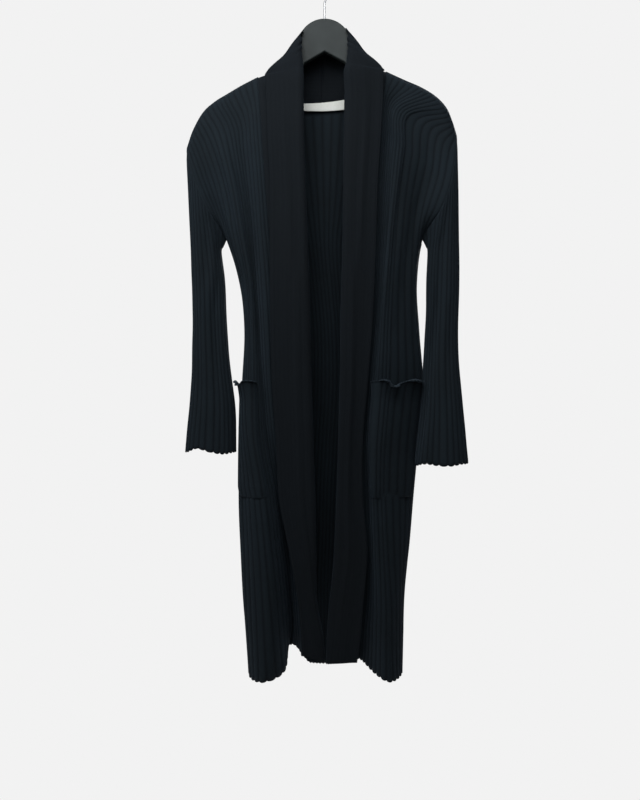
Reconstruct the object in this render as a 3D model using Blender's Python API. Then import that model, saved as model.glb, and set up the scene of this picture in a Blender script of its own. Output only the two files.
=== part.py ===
"""Long open jacket in fine rib knit, with a wide band collar, hung on a plain hanger.

Every cut piece is a closed wall of cloth: a grid of points on the middle of the cloth,
moved out for the face, with the ribs raised in it, and moved in for the plain inside.
Sizes are in millimetres, and the meshes are made in metres. The origin is where a rail
carries the hook, +Z is up and the front faces -Y. Left and right are the viewer's.
"""

import math

import bmesh
import bpy
import numpy as np

MM = 0.001

# Cloth
WALL = 1.8
RIB_RISE = 1.1
SEAM_GAP = 0.2
NECK_GAP = 0.4
HOLE_GAP = 0.8
BAND_WALL = 1.8
RIB_TIP_HEM = 2.0
RIB_TIP_CUFF = 2.5
FRONT_RIBS = 18
NECK_RIBS = 16
SLEEVE_RIBS = 26

# Columns of a front between its section points, and how closely they keep to the folds.
FOLD_COLUMNS = (7, 7, 5, 7, 5, 5)
FOLD_HOLD = 0.7
SPLINE_STEPS = 12

# Seams whose pieces' own normals nearly cancel out keep them.
LEAST_COMMON_NORMAL = 0.3
SHARP_DEGREES = 40

# Hanger and hook
PLATE_HALF = 5.5
PLATE_EDGE = 1.5
PLATE_EDGE_STEPS = 2
HEAD_RADIUS = 48.0
HEAD_TOP = -82.0
HEAD_STEPS = 24
WIRE_RADIUS = 1.8
WIRE_SIDES = 8
WIRE_STEPS = 2
CURL_RADIUS = 22.0
CURL_DEGREES = range(-25, 226, 25)
HOOK_NECK = [(0, HEAD_TOP + 0.3), (0, HEAD_TOP + 18), (0.5, -50), (5, -42.5), (13, -36)]

# Pockets and label
POCKET_WALL = 1.6
POCKET_LIFT = 3.6
POCKET_BELLY = 7.0
POCKET_SKEW = 1.6
POCKET_SWELL = 1.4
POCKET_FLARE = 5.0
FLARE_START = 0.85
FRILL_LEAN = 0.5
POCKET_STEPS = 8
LABEL_WALL = 0.6
LABEL_CLEAR = 0.5
LABEL_ROWS = (12.62, 13.55)
LABEL_COLUMNS = 5
LABEL_STEPS = 2

# One row for each section of a front, from the hem up to the shoulder seam.
# Columns: side or armhole seam, flank, crest, turn, valley, lip, band seam.
FRONT_LEFT = [
    [(-134, -2, -1225), (-129, -54, -1242), (-101, -88, -1246), (-72, -58, -1238),
     (-57, 8, -1208), (-45, -18, -1210), (-38, -48, -1214)],
    [(-138, 0, -1185), (-133, -50, -1188), (-102, -84, -1190), (-74, -56, -1186),
     (-58, 4, -1178), (-50, -18, -1178), (-40, -46, -1180)],
    [(-143, 2, -1115), (-138, -46, -1115), (-104, -76, -1115), (-78, -54, -1115),
     (-61, -6, -1115), (-54, -20, -1115), (-45, -42, -1115)],
    [(-147, 2, -1030), (-142, -40, -1030), (-108, -70, -1030), (-84, -52, -1030),
     (-68, -22, -1030), (-60, -26, -1030), (-52, -42, -1030)],
    [(-149, 2, -936), (-146, -34, -936), (-115, -64, -936), (-92, -54, -936),
     (-80, -36, -936), (-71, -36, -936), (-62, -44, -936)],
    [(-148, 2, -840), (-146, -30, -840), (-124, -57, -840), (-108, -56, -840),
     (-97, -48, -840), (-85, -50, -840), (-72, -46, -840)],
    [(-146, 2, -740), (-144, -25, -740), (-129, -50, -740), (-117, -49, -740),
     (-107, -43, -740), (-95, -54, -740), (-80, -48, -740)],
    [(-142, 2, -640), (-140, -22, -640), (-131, -42, -640), (-124, -42, -640),
     (-116, -36, -640), (-101, -54, -640), (-84, -48, -640)],
    [(-152, 2, -556), (-148, -22, -556), (-136, -42, -556), (-130, -40, -556),
     (-122, -34, -556), (-106, -52, -556), (-89, -48, -556)],
    [(-176, 0, -477), (-172, -22, -477), (-151, -44, -477), (-138, -41, -477),
     (-127, -33, -477), (-111, -48, -477), (-97, -46, -477)],
    [(-204, -26, -434), (-188, -20, -425), (-162, -42, -412), (-147, -38, -406),
     (-134, -31, -402), (-117, -43, -396), (-104, -43, -390)],
    [(-224, -27, -392), (-204, -19, -372), (-177, -33, -346), (-158, -30, -336),
     (-142, -25, -330), (-124, -35, -320), (-110, -37, -310)],
    [(-238, -20, -352), (-221, -17, -322), (-197, -20, -293), (-172, -20, -280),
     (-150, -18, -272), (-131, -25, -255), (-115, -27, -240)],
    [(-246, -8, -322), (-235, -9, -290), (-217, -9.5, -258), (-196, -9.5, -240),
     (-175, -9.5, -227), (-148, -9.5, -211), (-119, -9.5, -196)],
    [(-247, 0, -314), (-236, 0, -282), (-218, 0, -250), (-197, 0, -231),
     (-176, 0, -218), (-149, 0, -202), (-120, 0, -187)],
]
ARMPIT_ROW = 9
FRONT_RIGHT = [
    [(134, -2, -1228), (133, -48, -1240), (110, -82, -1243), (87, -66, -1234),
     (66, -42, -1220), (54, -42, -1216), (42, -48, -1213)],
    [(136, 0, -1185), (134, -46, -1188), (108, -78, -1190), (88, -66, -1186),
     (69, -40, -1180), (56, -42, -1180), (44, -48, -1180)],
    [(141, 2, -1115), (135, -44, -1115), (106, -74, -1115), (89, -66, -1115),
     (75, -40, -1115), (61, -42, -1115), (48, -48, -1115)],
    [(151, 2, -1030), (140, -42, -1030), (98, -68, -1030), (86, -62, -1030),
     (74, -42, -1030), (60, -44, -1030), (48, -48, -1030)],
    [(159, 2, -936), (146, -38, -936), (92, -64, -936), (82, -60, -936),
     (72, -42, -936), (58, -46, -936), (47, -48, -936)],
    [(165, 2, -840), (151, -34, -840), (91, -62, -840), (80, -58, -840),
     (72, -42, -840), (61, -46, -840), (51, -48, -840)],
    [(168, 2, -740), (156, -31, -740), (99, -60, -740), (88, -55, -740),
     (77, -42, -740), (67, -46, -740), (57, -48, -740)],
    [(168, 2, -640), (156, -30, -640), (103, -58, -640), (96, -52, -640),
     (88, -42, -640), (77, -46, -640), (68, -48, -640)],
    [(165, 2, -556), (155, -28, -556), (109, -56, -556), (102, -50, -556),
     (95, -42, -556), (84, -46, -556), (74, -48, -556)],
    [(176, 0, -477), (161, -25, -477), (116, -52, -477), (108, -46, -477),
     (99, -38, -477), (89, -43, -477), (80, -46, -477)],
    [(205, -26, -430), (168, -21, -412), (122, -47, -395), (113, -42, -392),
     (104, -34, -390), (95, -39, -388), (87, -42, -385)],
    [(222, -27, -385), (180, -18, -350), (128, -39, -320), (119, -34, -314),
     (109, -28, -308), (101, -33, -304), (95, -37, -300)],
    [(232, -20, -335), (188, -17, -284), (134, -28, -255), (125, -25, -248),
     (116, -20, -240), (109, -23, -236), (103, -27, -232)],
    [(236, -8, -300), (228, -9, -274), (217, -9.5, -249), (198, -9.5, -229),
     (172, -9.5, -213), (142, -9.5, -200), (109.5, -9.5, -186)],
    [(237, 0, -292), (229, 0, -266), (218, 0, -241), (199, 0, -221),
     (173, 0, -205), (143, 0, -192), (110.5, 0, -177)],
]

# The back, for each row of the fronts: how far behind the side seams it lies.
# Columns: left quarter, left middle, centre, right middle, right quarter, height at the centre.
BACK = [
    (38, 44, 34, 50, 36, -1217), (38, 43, 34, 49, 36, -1180), (38, 42, 35, 48, 36, -1115),
    (38, 43, 37, 47, 37, -1030), (39, 44, 38, 46, 38, -936), (40, 45, 40, 46, 39, -840),
    (40, 45, 41, 46, 40, -740), (40, 44, 41, 45, 40, -640), (38, 43, 41, 44, 38, -556),
    (36, 42, 41, 42, 36, -477),
]
BACK_SHARES = (0.07, 0.28, 0.62)
# Rows of the back above the armpit. Columns: share of the climb, share of the swing in to
# the shoulder, depth at the armhole. EDGE_EASE is how far in the armhole's curve reaches.
BACK_YOKE = [(0.264, 0.13, 24), (0.52, 0.30, 25), (0.767, 0.52, 19), (0.968, 0.72, 8.5)]
EDGE_EASE = 0.12

# Half of the back neck seam, from the neck point to the centre.
# Columns: share of the way across, depth, drop as a share of the whole drop.
NECK_LINE = [
    (0.00, 0.0, 0.00), (0.06, 8.0, 0.08), (0.14, 15.0, 0.24), (0.25, 21.5, 0.46),
    (0.38, 28.0, 0.65), (0.52, 33.0, 0.80), (0.68, 36.5, 0.91), (0.84, 38.3, 0.98),
    (1.00, 39.0, 1.00),
]
NECK_CENTRE = (-4.6, -219.0)

# The band, one row for each row of the fronts. Columns: roll x, roll y, free edge x and y.
BAND_LEFT = [
    (-3.5, -66, -38, -74), (-4.5, -65, -40, -72), (-13, -62, -46, -68), (-15, -61, -61, -64),
    (-17, -60, -79, -62), (-20, -60, -84, -62), (-23, -60, -91, -63), (-25, -60, -94, -63),
    (-27, -60, -95, -62), (-30, -59, -95, -60), (-33, -57, -95, -56), (-36, -54, -99, -50),
    (-37, -50, -102, -42), (-37.5, -46, -105, -36),
]
BAND_RIGHT = [
    (4.5, -68, 55, -76), (5.5, -67, 60, -74), (8, -64, 66, -70), (16, -62, 73, -66),
    (20, -61, 66, -63), (23, -60, 66, -61), (26, -60, 74, -62), (27, -60, 82, -61),
    (29, -60, 86, -61), (31, -59, 89, -59), (32, -57, 92, -56), (34, -54, 98, -50),
    (35, -50, 102, -42), (35.5, -46, 104, -36),
]
# The band's own rows above the fronts, along NECK_LINE, for the left. Columns: roll, free
# edge, how far it arches up over the hanger's arm, and how much higher the right side lies.
BAND_NECK = [
    ((-38, -43, -186), (-104, -34, -190), 2, 6), ((-39, -40, -172), (-98, -34, -174), 6, 6),
    ((-40, -36, -160), (-88, -31, -158), 10, 6), ((-41, -31, -146), (-72, -27, -143), 11, 5),
    ((-43, -24, -132), (-56, -22, -121), 9, 4), ((-54, -12, -124), (-45, -14, -103), 4, 2),
    ((-53, 11, -132), (-47, 13, -104), 0, 1), ((-25, 23, -133), (-24, 20, -97), 0, 0),
    ((0, 27, -134), (0, 23, -95), 0, 0),
]
UNDER_STEPS = (0, 0.25, 0.5, 0.75, 0.93)
FALL_STEPS = (0.07, 0.25, 0.5, 0.75, 1.0)
ROLL_RADIUS = 4.5
FALL_BULGE = 2.0
BAND_HEM_DROP = 1.5
# The cosines of the angle at the roll where the band begins to fold back and lies closed.
FOLD_BEGINS, FOLD_CLOSED = -0.2, 0.7

# Sleeves from the armhole down. Columns: height, outer x, inner x, middle y, half depth, tuck.
SLEEVE_LEFT = [
    (-500, -238.5, -187, -2, 22, 0.00), (-550, -236.5, -180.5, -4, 22, 0.04),
    (-610, -235.0, -178.0, -6, 22, 0.08), (-670, -235.0, -174.0, -8, 22, 0.10),
    (-725, -235.5, -168.0, -10, 23, 0.08), (-775, -239.0, -161.5, -12, 24, 0.06),
    (-820, -243.0, -159.5, -13, 25, 0.05), (-857, -246.0, -159.0, -14, 26, 0.05),
]
SLEEVE_RIGHT = [
    (-500, 239.5, 187, -3, 22, 0.00), (-550, 239.0, 184.0, -7, 22, 0.04),
    (-610, 236.5, 182.5, -12, 22, 0.08), (-670, 235.5, 179.0, -18, 22, 0.10),
    (-725, 237.0, 180.0, -25, 23, 0.08), (-780, 240.5, 176.0, -33, 24, 0.06),
    (-835, 246.5, 166.0, -41, 25, 0.05), (-879, 251.0, 159.0, -47, 26, 0.05),
]
ARMHOLE_BLEND = (0.10, 0.30, 0.62)
OVAL_POWER = 0.85
# Long dents in a sleeve, one in front and one behind. Columns: angle, half width, strength.
SLEEVE_DENTS = ((1.9, 0.35, 3), (4.6, 0.4, 2))
WAVE_FADE = 0.35
# Waves round a cuff's edge. Columns: place round the ring, width, rise.
CUFF_WAVES_LEFT = [(0.18, 0.06, 7.0), (0.33, 0.07, -3.0), (0.62, 0.08, 5.0), (0.85, 0.07, 4.0)]
CUFF_WAVES_RIGHT = [(0.14, 0.06, 3.0), (0.36, 0.08, 4.0), (0.66, 0.07, 5.0), (0.88, 0.06, 3.0)]

# Pockets. Columns: side column, inner column, and the frilled mouth's rise at nine places.
POCKET_ROWS = (4, 6)
POCKET_MOUTH = {
    "pocket_left": (1, 19, (0, 3, 5, 2, -2, 2, 5, 3, 0)),
    "pocket_right": (1, 23, (0, 3, 6, 4, -4, 1, 6, 4, -1)),
}

# Hanger outline, the left arm from the head to its end, then back under it.
ARM_LEFT = [(-47, -166), (-85, -186), (-118, -201), (-152, -214), (-186, -231), (-208, -248),
            (-213, -254), (-209, -263), (-186, -251), (-120, -219), (-62, -191), (-41, -174),
            (-36, -162)]
ARM_RIGHT = [(47, -162), (85, -178), (115, -191), (146, -203), (180, -216), (204, -233),
             (209, -239), (205, -249), (180, -235), (118, -208), (62, -184), (41, -170),
             (36, -160)]
ARCH_TOP = (0, -141)

FINISH = {
    "knit": ((0.012, 0.012, 0.014), 0.85, 0.0),
    "label": ((0.62, 0.60, 0.56), 0.45, 0.0),
    "plate": ((0.038, 0.045, 0.048), 0.55, 0.0),
    "wire": ((0.33, 0.33, 0.34), 0.35, 0.9),
}


def material(name, finish):
    colour, rough, metal = FINISH[finish]
    made = bpy.data.materials.new(name)
    made.use_nodes = True
    shader = made.node_tree.nodes["Principled BSDF"]
    shader.inputs["Base Color"].default_value = (*colour, 1.0)
    shader.inputs["Roughness"].default_value = rough
    shader.inputs["Metallic"].default_value = metal
    return made


def finish_object(name, finish, bm):
    """Turns a bmesh in millimetres into a named object in metres, faces out."""
    bmesh.ops.recalc_face_normals(bm, faces=bm.faces)
    bmesh.ops.scale(bm, vec=(MM, MM, MM), verts=bm.verts)
    mesh = bpy.data.meshes.new(name)
    bm.to_mesh(mesh)
    bm.free()
    mesh.shade_smooth()
    mesh.set_sharp_from_angle(angle=math.radians(SHARP_DEGREES))
    made = bpy.data.objects.new(name, mesh)
    made.data.materials.append(material(name, finish))
    bpy.context.scene.collection.objects.link(made)
    return made


def spline(points, steps=SPLINE_STEPS):
    """A smooth curve through the points, as a dense polyline."""
    points = np.array(points, float)
    ends = np.vstack([2 * points[0] - points[1], points, 2 * points[-1] - points[-2]])
    out = []
    for a, b, c, d in zip(ends, ends[1:], ends[2:], ends[3:]):
        t = np.linspace(0, 1, steps, endpoint=False)[:, None]
        out.append(0.5 * (2 * b + (c - a) * t + (2 * a - 5 * b + 4 * c - d) * t ** 2
                          + (3 * b - a - 3 * c + d) * t ** 3))
    return np.vstack(out + [points[-1:]])


def spaced(line, count):
    """The polyline read at count + 1 places, evenly along its length."""
    step = np.linalg.norm(np.diff(line, axis=0), axis=1)
    along = np.concatenate([[0], np.cumsum(step)])
    places = np.linspace(0, along[-1], count + 1)
    return np.stack([np.interp(places, along, line[:, k]) for k in range(3)], axis=1)


def smooth_step(t):
    t = np.clip(t, 0, 1)
    return t * t * (3 - 2 * t)


def normals_of(grid, outward, closed=False):
    """Unit normals of a grid of points, turned to the outside."""
    if closed:
        across = np.roll(grid, -1, axis=1) - np.roll(grid, 1, axis=1)
    else:
        across = np.gradient(grid, axis=1)
    normal = outward * np.cross(across, np.gradient(grid, axis=0))
    return normal / np.maximum(np.linalg.norm(normal, axis=2, keepdims=True), 1e-9)


def share_normals(pieces):
    """Gives points that lie on each other, at a seam, one common normal."""
    total = {}
    for piece in pieces:
        for point, normal in zip(piece["grid"].reshape(-1, 3), piece["normal"].reshape(-1, 3)):
            key = tuple(np.round(point, 1))
            total[key] = total.get(key, 0) + normal
    for piece in pieces:
        flat = piece["normal"].reshape(-1, 3)
        for k, point in enumerate(piece["grid"].reshape(-1, 3)):
            common = total[tuple(np.round(point, 1))]
            size = np.linalg.norm(common)
            if size > LEAST_COMMON_NORMAL:
                flat[k] = common / size


def pull_back(grid, edge, gap=SEAM_GAP):
    """Moves one edge of a grid back from its seam, along the cloth."""
    grid = grid.copy()
    first, second = {"left": ((slice(None), 0), (slice(None), 1)),
                     "right": ((slice(None), -1), (slice(None), -2)),
                     "bottom": (0, 1), "top": (-1, -2)}[edge]
    inward = grid[second] - grid[first]
    size = np.maximum(np.linalg.norm(inward, axis=-1, keepdims=True), 1e-9)
    grid[first] += gap * inward / size
    return grid


def zip_rows(bm, a, b, share_b=None):
    """Joins two rows of vertices, of any two counts, with triangles."""
    share_a = np.linspace(0, 1, len(a))
    share_b = np.linspace(0, 1, len(b)) if share_b is None else share_b
    i, j = 0, 0
    while i < len(a) - 1 or j < len(b) - 1:
        if j == len(b) - 1 or (i < len(a) - 1 and share_a[i + 1] <= share_b[j + 1]):
            bm.faces.new((a[i], a[i + 1], b[j]))
            i += 1
        else:
            bm.faces.new((a[i], b[j + 1], b[j]))
            j += 1


def wall(name, finish, face, inside, closed=False, top_share=None):
    """A closed solid between the rows of points of its face and those of its inside."""
    bm = bmesh.new()
    outer = [[bm.verts.new(point) for point in row] for row in face]
    inner = [[bm.verts.new(point) for point in row] for row in inside]
    if closed:
        outer = [row + row[:1] for row in outer]
        inner = [row + row[:1] for row in inner]
    for side in (outer, inner):
        for low, high in zip(side, side[1:]):
            if len(low) != len(high):
                zip_rows(bm, low, high, top_share)
                continue
            for k in range(len(low) - 1):
                bm.faces.new((low[k], low[k + 1], high[k + 1]))
                bm.faces.new((low[k], high[k + 1], high[k]))
    zip_rows(bm, outer[0], inner[0])
    zip_rows(bm, outer[-1], inner[-1])
    if not closed:
        for k in (0, -1):
            zip_rows(bm, [row[k] for row in outer], [row[k] for row in inner])
    return finish_object(name, finish, bm)


def ribbed(grid, normal, tip=0.0, top_seam=True):
    """Face and inside of a ribbed panel. Every second column of the face is a rib's crest."""
    rise = np.zeros(grid.shape[:2])
    rise[:, 1::2] = RIB_RISE
    if top_seam:
        rise[-1] = 0
    face = grid + normal * (WALL / 2 + rise)[..., None]
    face[0, 1::2, 2] -= tip
    inside = (grid - normal * WALL / 2)[:, ::2]
    return list(face), list(inside)


def front_row(row):
    """One row of a front: its columns keep partly to the folds and partly to even spacing."""
    line = spline(row)
    step = np.linalg.norm(np.diff(line, axis=0), axis=1)
    along = np.concatenate([[0], np.cumsum(step)])
    share = np.linspace(0, 1, 2 * FRONT_RIBS + 1)
    at_folds = np.interp(share, np.cumsum((0,) + FOLD_COLUMNS) / sum(FOLD_COLUMNS), along[::SPLINE_STEPS])
    places = FOLD_HOLD * at_folds + (1 - FOLD_HOLD) * share * along[-1]
    return np.stack([np.interp(places, along, line[:, k]) for k in range(3)], axis=1)


def front_grid(table):
    return np.stack([front_row(row) for row in table])


def neck_half(neck_point):
    """Back neck seam from a neck point to the centre of the back."""
    x, _, z = neck_point
    rows = []
    for share, depth, drop in NECK_LINE:
        rows.append((x + share * (NECK_CENTRE[0] - x), depth, z + drop * (NECK_CENTRE[1] - z)))
    return np.array(rows)


def between(points):
    """The points, with the middle of each pair added between them."""
    points = np.array(points, float)
    out = [points[0]]
    for a, b in zip(points, points[1:]):
        out += [(a + b) / 2, b]
    return np.array(out)


def back_row(a, b, depths):
    """One level row of the back, from one side seam to the other, with its soft folds."""
    quarter_l, middle_l, centre, middle_r, quarter_r, height = depths
    middle = (a[0] + b[0]) / 2
    line = [a]
    for end, quarter, halfway in ((a, quarter_l, middle_l), (b, quarter_r, middle_r)):
        part = []
        for share, depth in zip(BACK_SHARES, (0.6 * quarter, quarter, halfway)):
            drop = smooth_step(1.3 * share)
            part.append((end[0] + share * (middle - end[0]), depth,
                         end[2] + drop * (height - end[2])))
        line += part if end is a else [(middle, centre, height)] + part[::-1]
    return spaced(spline(line + [b]), 2 * (2 * FRONT_RIBS + NECK_RIBS))


def back_grid(left, right):
    """The back: its side and shoulder seams are the fronts' own points."""
    rows = [back_row(left[k, 0], right[k, 0], depths) for k, depths in enumerate(BACK)]
    neck = np.vstack([neck_half(left[-1, -1]), neck_half(right[-1, -1])[-2::-1]])
    top = np.vstack([left[-1], between(neck)[1:-1], right[-1, ::-1]])
    low = rows[-1]
    share = np.linspace(0, 1, len(top))[:, None]
    for k, (climb, swing, edge_depth) in enumerate(BACK_YOKE):
        row = low + climb * (top - low)
        row[:, 1] = low[:, 1] + swing * (top[:, 1] - low[:, 1])
        level = len(BACK) + k
        for end, column, away in ((left[level, 0], 0, share), (right[level, 0], -1, 1 - share)):
            edge = np.array([end[0], edge_depth, end[2]])
            row = row + smooth_step(1 - away / EDGE_EASE) * (edge - row[column])
        rows.append(row)
    return np.stack(rows + [top])


def ring(row, count):
    """One ring of a sleeve, from its outer line round the front and the back."""
    height, outer_x, inner_x, middle_y, half_depth, tuck = row
    angle = 2 * math.pi * np.arange(count) / count
    centre = (outer_x + inner_x) / 2
    half = (outer_x - inner_x) / 2
    cos = np.sign(np.cos(angle)) * np.abs(np.cos(angle)) ** OVAL_POWER
    sin = np.sign(np.sin(angle)) * np.abs(np.sin(angle)) ** OVAL_POWER
    dent = np.ones(count)
    for where, width, strength in SLEEVE_DENTS:
        dent -= tuck * strength * np.exp(-((angle - where) / width) ** 2)
    return np.stack([centre + half * cos, middle_y - half_depth * sin * dent,
                     np.full(count, float(height))], axis=1)


def armhole_ring(front, back_edge):
    """The armhole's points from the shoulder round the front to the armpit and up the back."""
    down = front[:ARMPIT_ROW - 1:-1, 0]
    up = back_edge[ARMPIT_ROW + 1:-1]
    return np.vstack([down, up])


def read_ring(points, count):
    """A closed ring of points read at count even places."""
    half = len(points) // 2
    front = spaced(points[:half + 1], count // 2)
    back = spaced(np.vstack([points[half:], points[:1]]), count // 2)
    return np.vstack([front[:-1], back[:-1]])


def sleeve(name, front, back_edge, table, waves, outward):
    """A tube from the armhole to a wavy, rib-tipped cuff."""
    count = 2 * SLEEVE_RIBS
    hole = armhole_ring(front, back_edge)
    rings = [ring(row, count) for row in table][::-1]
    place = np.arange(count) / count
    for where, width, rise in waves:
        apart = np.abs((place - where + 0.5) % 1 - 0.5)
        rings[0][:, 2] += rise * np.exp(-(apart / width) ** 2)
        rings[1][:, 2] += WAVE_FADE * rise * np.exp(-(apart / width) ** 2)
    read = read_ring(hole, count)
    for share in ARMHOLE_BLEND[::-1]:
        rings.append((1 - share) * read + share * rings[len(table) - 1])
    grid = np.stack(rings + [read])
    normal = normals_of(grid, outward, closed=True)
    return {"name": name, "grid": grid, "normal": normal, "hole": hole}


def hole_shares(hole):
    """How far round the ring each armhole point lies: half a turn for the front's part."""
    half = len(hole) // 2
    out = []
    for part, start in ((hole[:half + 1], 0.0), (np.vstack([hole[half:], hole[:1]]), 0.5)):
        step = np.linalg.norm(np.diff(part, axis=0), axis=1)
        out += list(start + 0.5 * np.concatenate([[0], np.cumsum(step)[:-1]]) / step.sum())
    return out + [1.0]


def sleeve_solid(piece):
    face, inside = ribbed(piece["grid"], piece["normal"], RIB_TIP_CUFF)
    hole, normal = piece["hole"], piece["hole_normal"]
    shares = hole_shares(hole)
    below = piece["grid"][-2]
    toward = below[[int(round(t * len(below))) % len(below) for t in shares[:-1]]] - hole
    along = np.roll(hole, -1, axis=0) - np.roll(hole, 1, axis=0)
    along /= np.linalg.norm(along, axis=1, keepdims=True)
    toward -= along * (along * toward).sum(axis=1, keepdims=True)
    toward /= np.linalg.norm(toward, axis=1, keepdims=True)
    edge = hole + HOLE_GAP * toward
    face[-1] = edge + normal * WALL / 2
    inside[-1] = edge - normal * WALL / 2
    return wall(piece["name"], "knit", face, inside, closed=True, top_share=shares)


def band_section(seam, roll, free, arch=0.0):
    """Across the band: from its seam under the fall, round the roll, to the free edge."""
    seam, roll, free = (np.array(p, float) for p in (seam, roll, free))
    back = seam - roll
    out = free - roll
    back /= np.linalg.norm(back)
    out /= np.linalg.norm(out)
    closeness = smooth_step((np.dot(back, out) - FOLD_BEGINS) / (FOLD_CLOSED - FOLD_BEGINS))
    lift = np.array([0.0, ROLL_RADIUS * closeness, 0.0])
    over = np.array([0.0, 0.0, arch])
    under = [seam + t * (roll + lift - seam) + math.sin(math.pi * t) * over for t in UNDER_STEPS]
    middle = [roll]
    fall = [roll - lift + t * (free - roll + lift) for t in FALL_STEPS]
    bulge = np.array([0.0, -FALL_BULGE * closeness, 0.0])
    fall[1] += bulge
    fall[2] += bulge
    return np.array(under + middle + fall)


def band(name, front, table, outward):
    """Half of the band, from the hem up a front and round to the centre of the back neck."""
    side = 1 if outward > 0 else -1
    rows = []
    for k, (roll_x, roll_y, free_x, free_y) in enumerate(table):
        seam = front[k, -1]
        low = -BAND_HEM_DROP if k == 0 else 0
        rows.append(band_section(seam, (roll_x, roll_y, seam[2] + low),
                                 (free_x, free_y, seam[2] + low)))
    neck = neck_half(front[-1, -1])
    for seam, (roll, free, arch, higher) in zip(neck, BAND_NECK):
        flip = np.array([side, 1, 1])
        shift = np.array([NECK_CENTRE[0] if np.allclose(seam, neck[-1]) else 0, 0,
                          higher if side < 0 else 0])
        rows.append(band_section(seam, np.array(roll) * flip + shift,
                                 np.array(free) * flip + shift, arch))
    grid = np.stack(rows)
    return {"name": name, "grid": grid, "normal": normals_of(grid, outward)}


def band_solid(piece):
    grid = pull_back(pull_back(piece["grid"], "left", NECK_GAP), "top")
    normal = piece["normal"]
    return wall(piece["name"], "knit", list(grid + normal * BAND_WALL / 2),
                list(grid - normal * BAND_WALL / 2))


def patch(grid, normal, rows, columns, row_count, column_count):
    """Points and normals of a panel's middle, read over part of it."""
    points = np.empty((row_count + 1, column_count + 1, 3))
    facing = np.empty_like(points)
    for i, row in enumerate(np.linspace(*rows, row_count + 1)):
        for j, column in enumerate(np.linspace(*columns, column_count + 1)):
            r = min(int(row), grid.shape[0] - 2)
            c = min(int(column), grid.shape[1] - 2)
            s, t = row - r, column - c
            for source, target in ((grid, points), (normal, facing)):
                target[i, j] = ((1 - s) * ((1 - t) * source[r, c] + t * source[r, c + 1])
                                + s * ((1 - t) * source[r + 1, c] + t * source[r + 1, c + 1]))
    return points, facing / np.linalg.norm(facing, axis=2, keepdims=True)


def pocket(name, front):
    """A patch on a front, closed at its sides and bottom, with a frilled open mouth."""
    first, last, frill = POCKET_MOUTH[name]
    columns = last - first
    points, facing = patch(front["grid"], front["normal"], POCKET_ROWS, (first, last),
                           POCKET_STEPS, columns)
    up = np.linspace(0, 1, POCKET_STEPS + 1)[:, None]
    across = np.linspace(0, 1, columns + 1)[None, :]
    belly = np.sin(math.pi * across ** POCKET_SKEW) * smooth_step(up * POCKET_SWELL)
    flare = np.clip((up - FLARE_START) / (1 - FLARE_START), 0, 1) ** 2 * np.sin(math.pi * across)
    lift = POCKET_LIFT + POCKET_BELLY * belly + POCKET_FLARE * flare
    wave = np.interp(across[0], np.linspace(0, 1, len(frill)), frill)
    grid = points + facing * lift[..., None]
    grid[-1, :, 2] += wave
    grid[-1] += facing[-1] * np.abs(wave)[:, None] * FRILL_LEAN
    normal = normals_of(grid, front["outward"])
    rise = np.zeros(grid.shape[:2])
    rise[:, 1:-1:2] = RIB_RISE
    face = grid + normal * (POCKET_WALL / 2 + rise)[..., None]
    inside = (grid - normal * POCKET_WALL / 2)
    return wall(name, "knit", list(face), list(inside))


def label(back):
    """A bare satin label on the inside of the back, hung from the neck seam."""
    centre = back["grid"].shape[1] // 2
    points, facing = patch(back["grid"], back["normal"], LABEL_ROWS,
                           (centre - LABEL_COLUMNS, centre + LABEL_COLUMNS), LABEL_STEPS,
                           LABEL_COLUMNS)
    grid = points - facing * (WALL / 2 + LABEL_CLEAR + LABEL_WALL / 2)
    return wall("neck_label", "label", list(grid - facing * LABEL_WALL / 2),
                list(grid + facing * LABEL_WALL / 2))


def hanger_outline():
    """The flat plate's edge: a round head over an arch, and two sloping arms."""
    centre_z = HEAD_TOP - HEAD_RADIUS
    start = math.atan2(ARM_RIGHT[0][1] - centre_z, ARM_RIGHT[0][0])
    end = math.atan2(ARM_LEFT[0][1] - centre_z, ARM_LEFT[0][0]) + 2 * math.pi
    head = []
    for k in range(1, HEAD_STEPS):
        angle = start + (end - start) * k / HEAD_STEPS
        head.append((HEAD_RADIUS * math.cos(angle), centre_z + HEAD_RADIUS * math.sin(angle)))
    return head + ARM_LEFT + [ARCH_TOP] + ARM_RIGHT[::-1]


def hanger_body():
    bm = bmesh.new()
    face = bm.faces.new([bm.verts.new((x, -PLATE_HALF, z)) for x, z in hanger_outline()])
    made = bmesh.ops.extrude_face_region(bm, geom=[face])
    moved = [v for v in made["geom"] if isinstance(v, bmesh.types.BMVert)]
    bmesh.ops.translate(bm, vec=(0, 2 * PLATE_HALF, 0), verts=moved)
    rims = [e for e in bm.edges if abs(e.verts[0].co.y - e.verts[1].co.y) < 1e-6]
    bmesh.ops.bevel(bm, geom=rims, offset=PLATE_EDGE, segments=PLATE_EDGE_STEPS, profile=0.5,
                    affect="EDGES", material=-1)
    return finish_object("hanger_body", "plate", bm)


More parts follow.
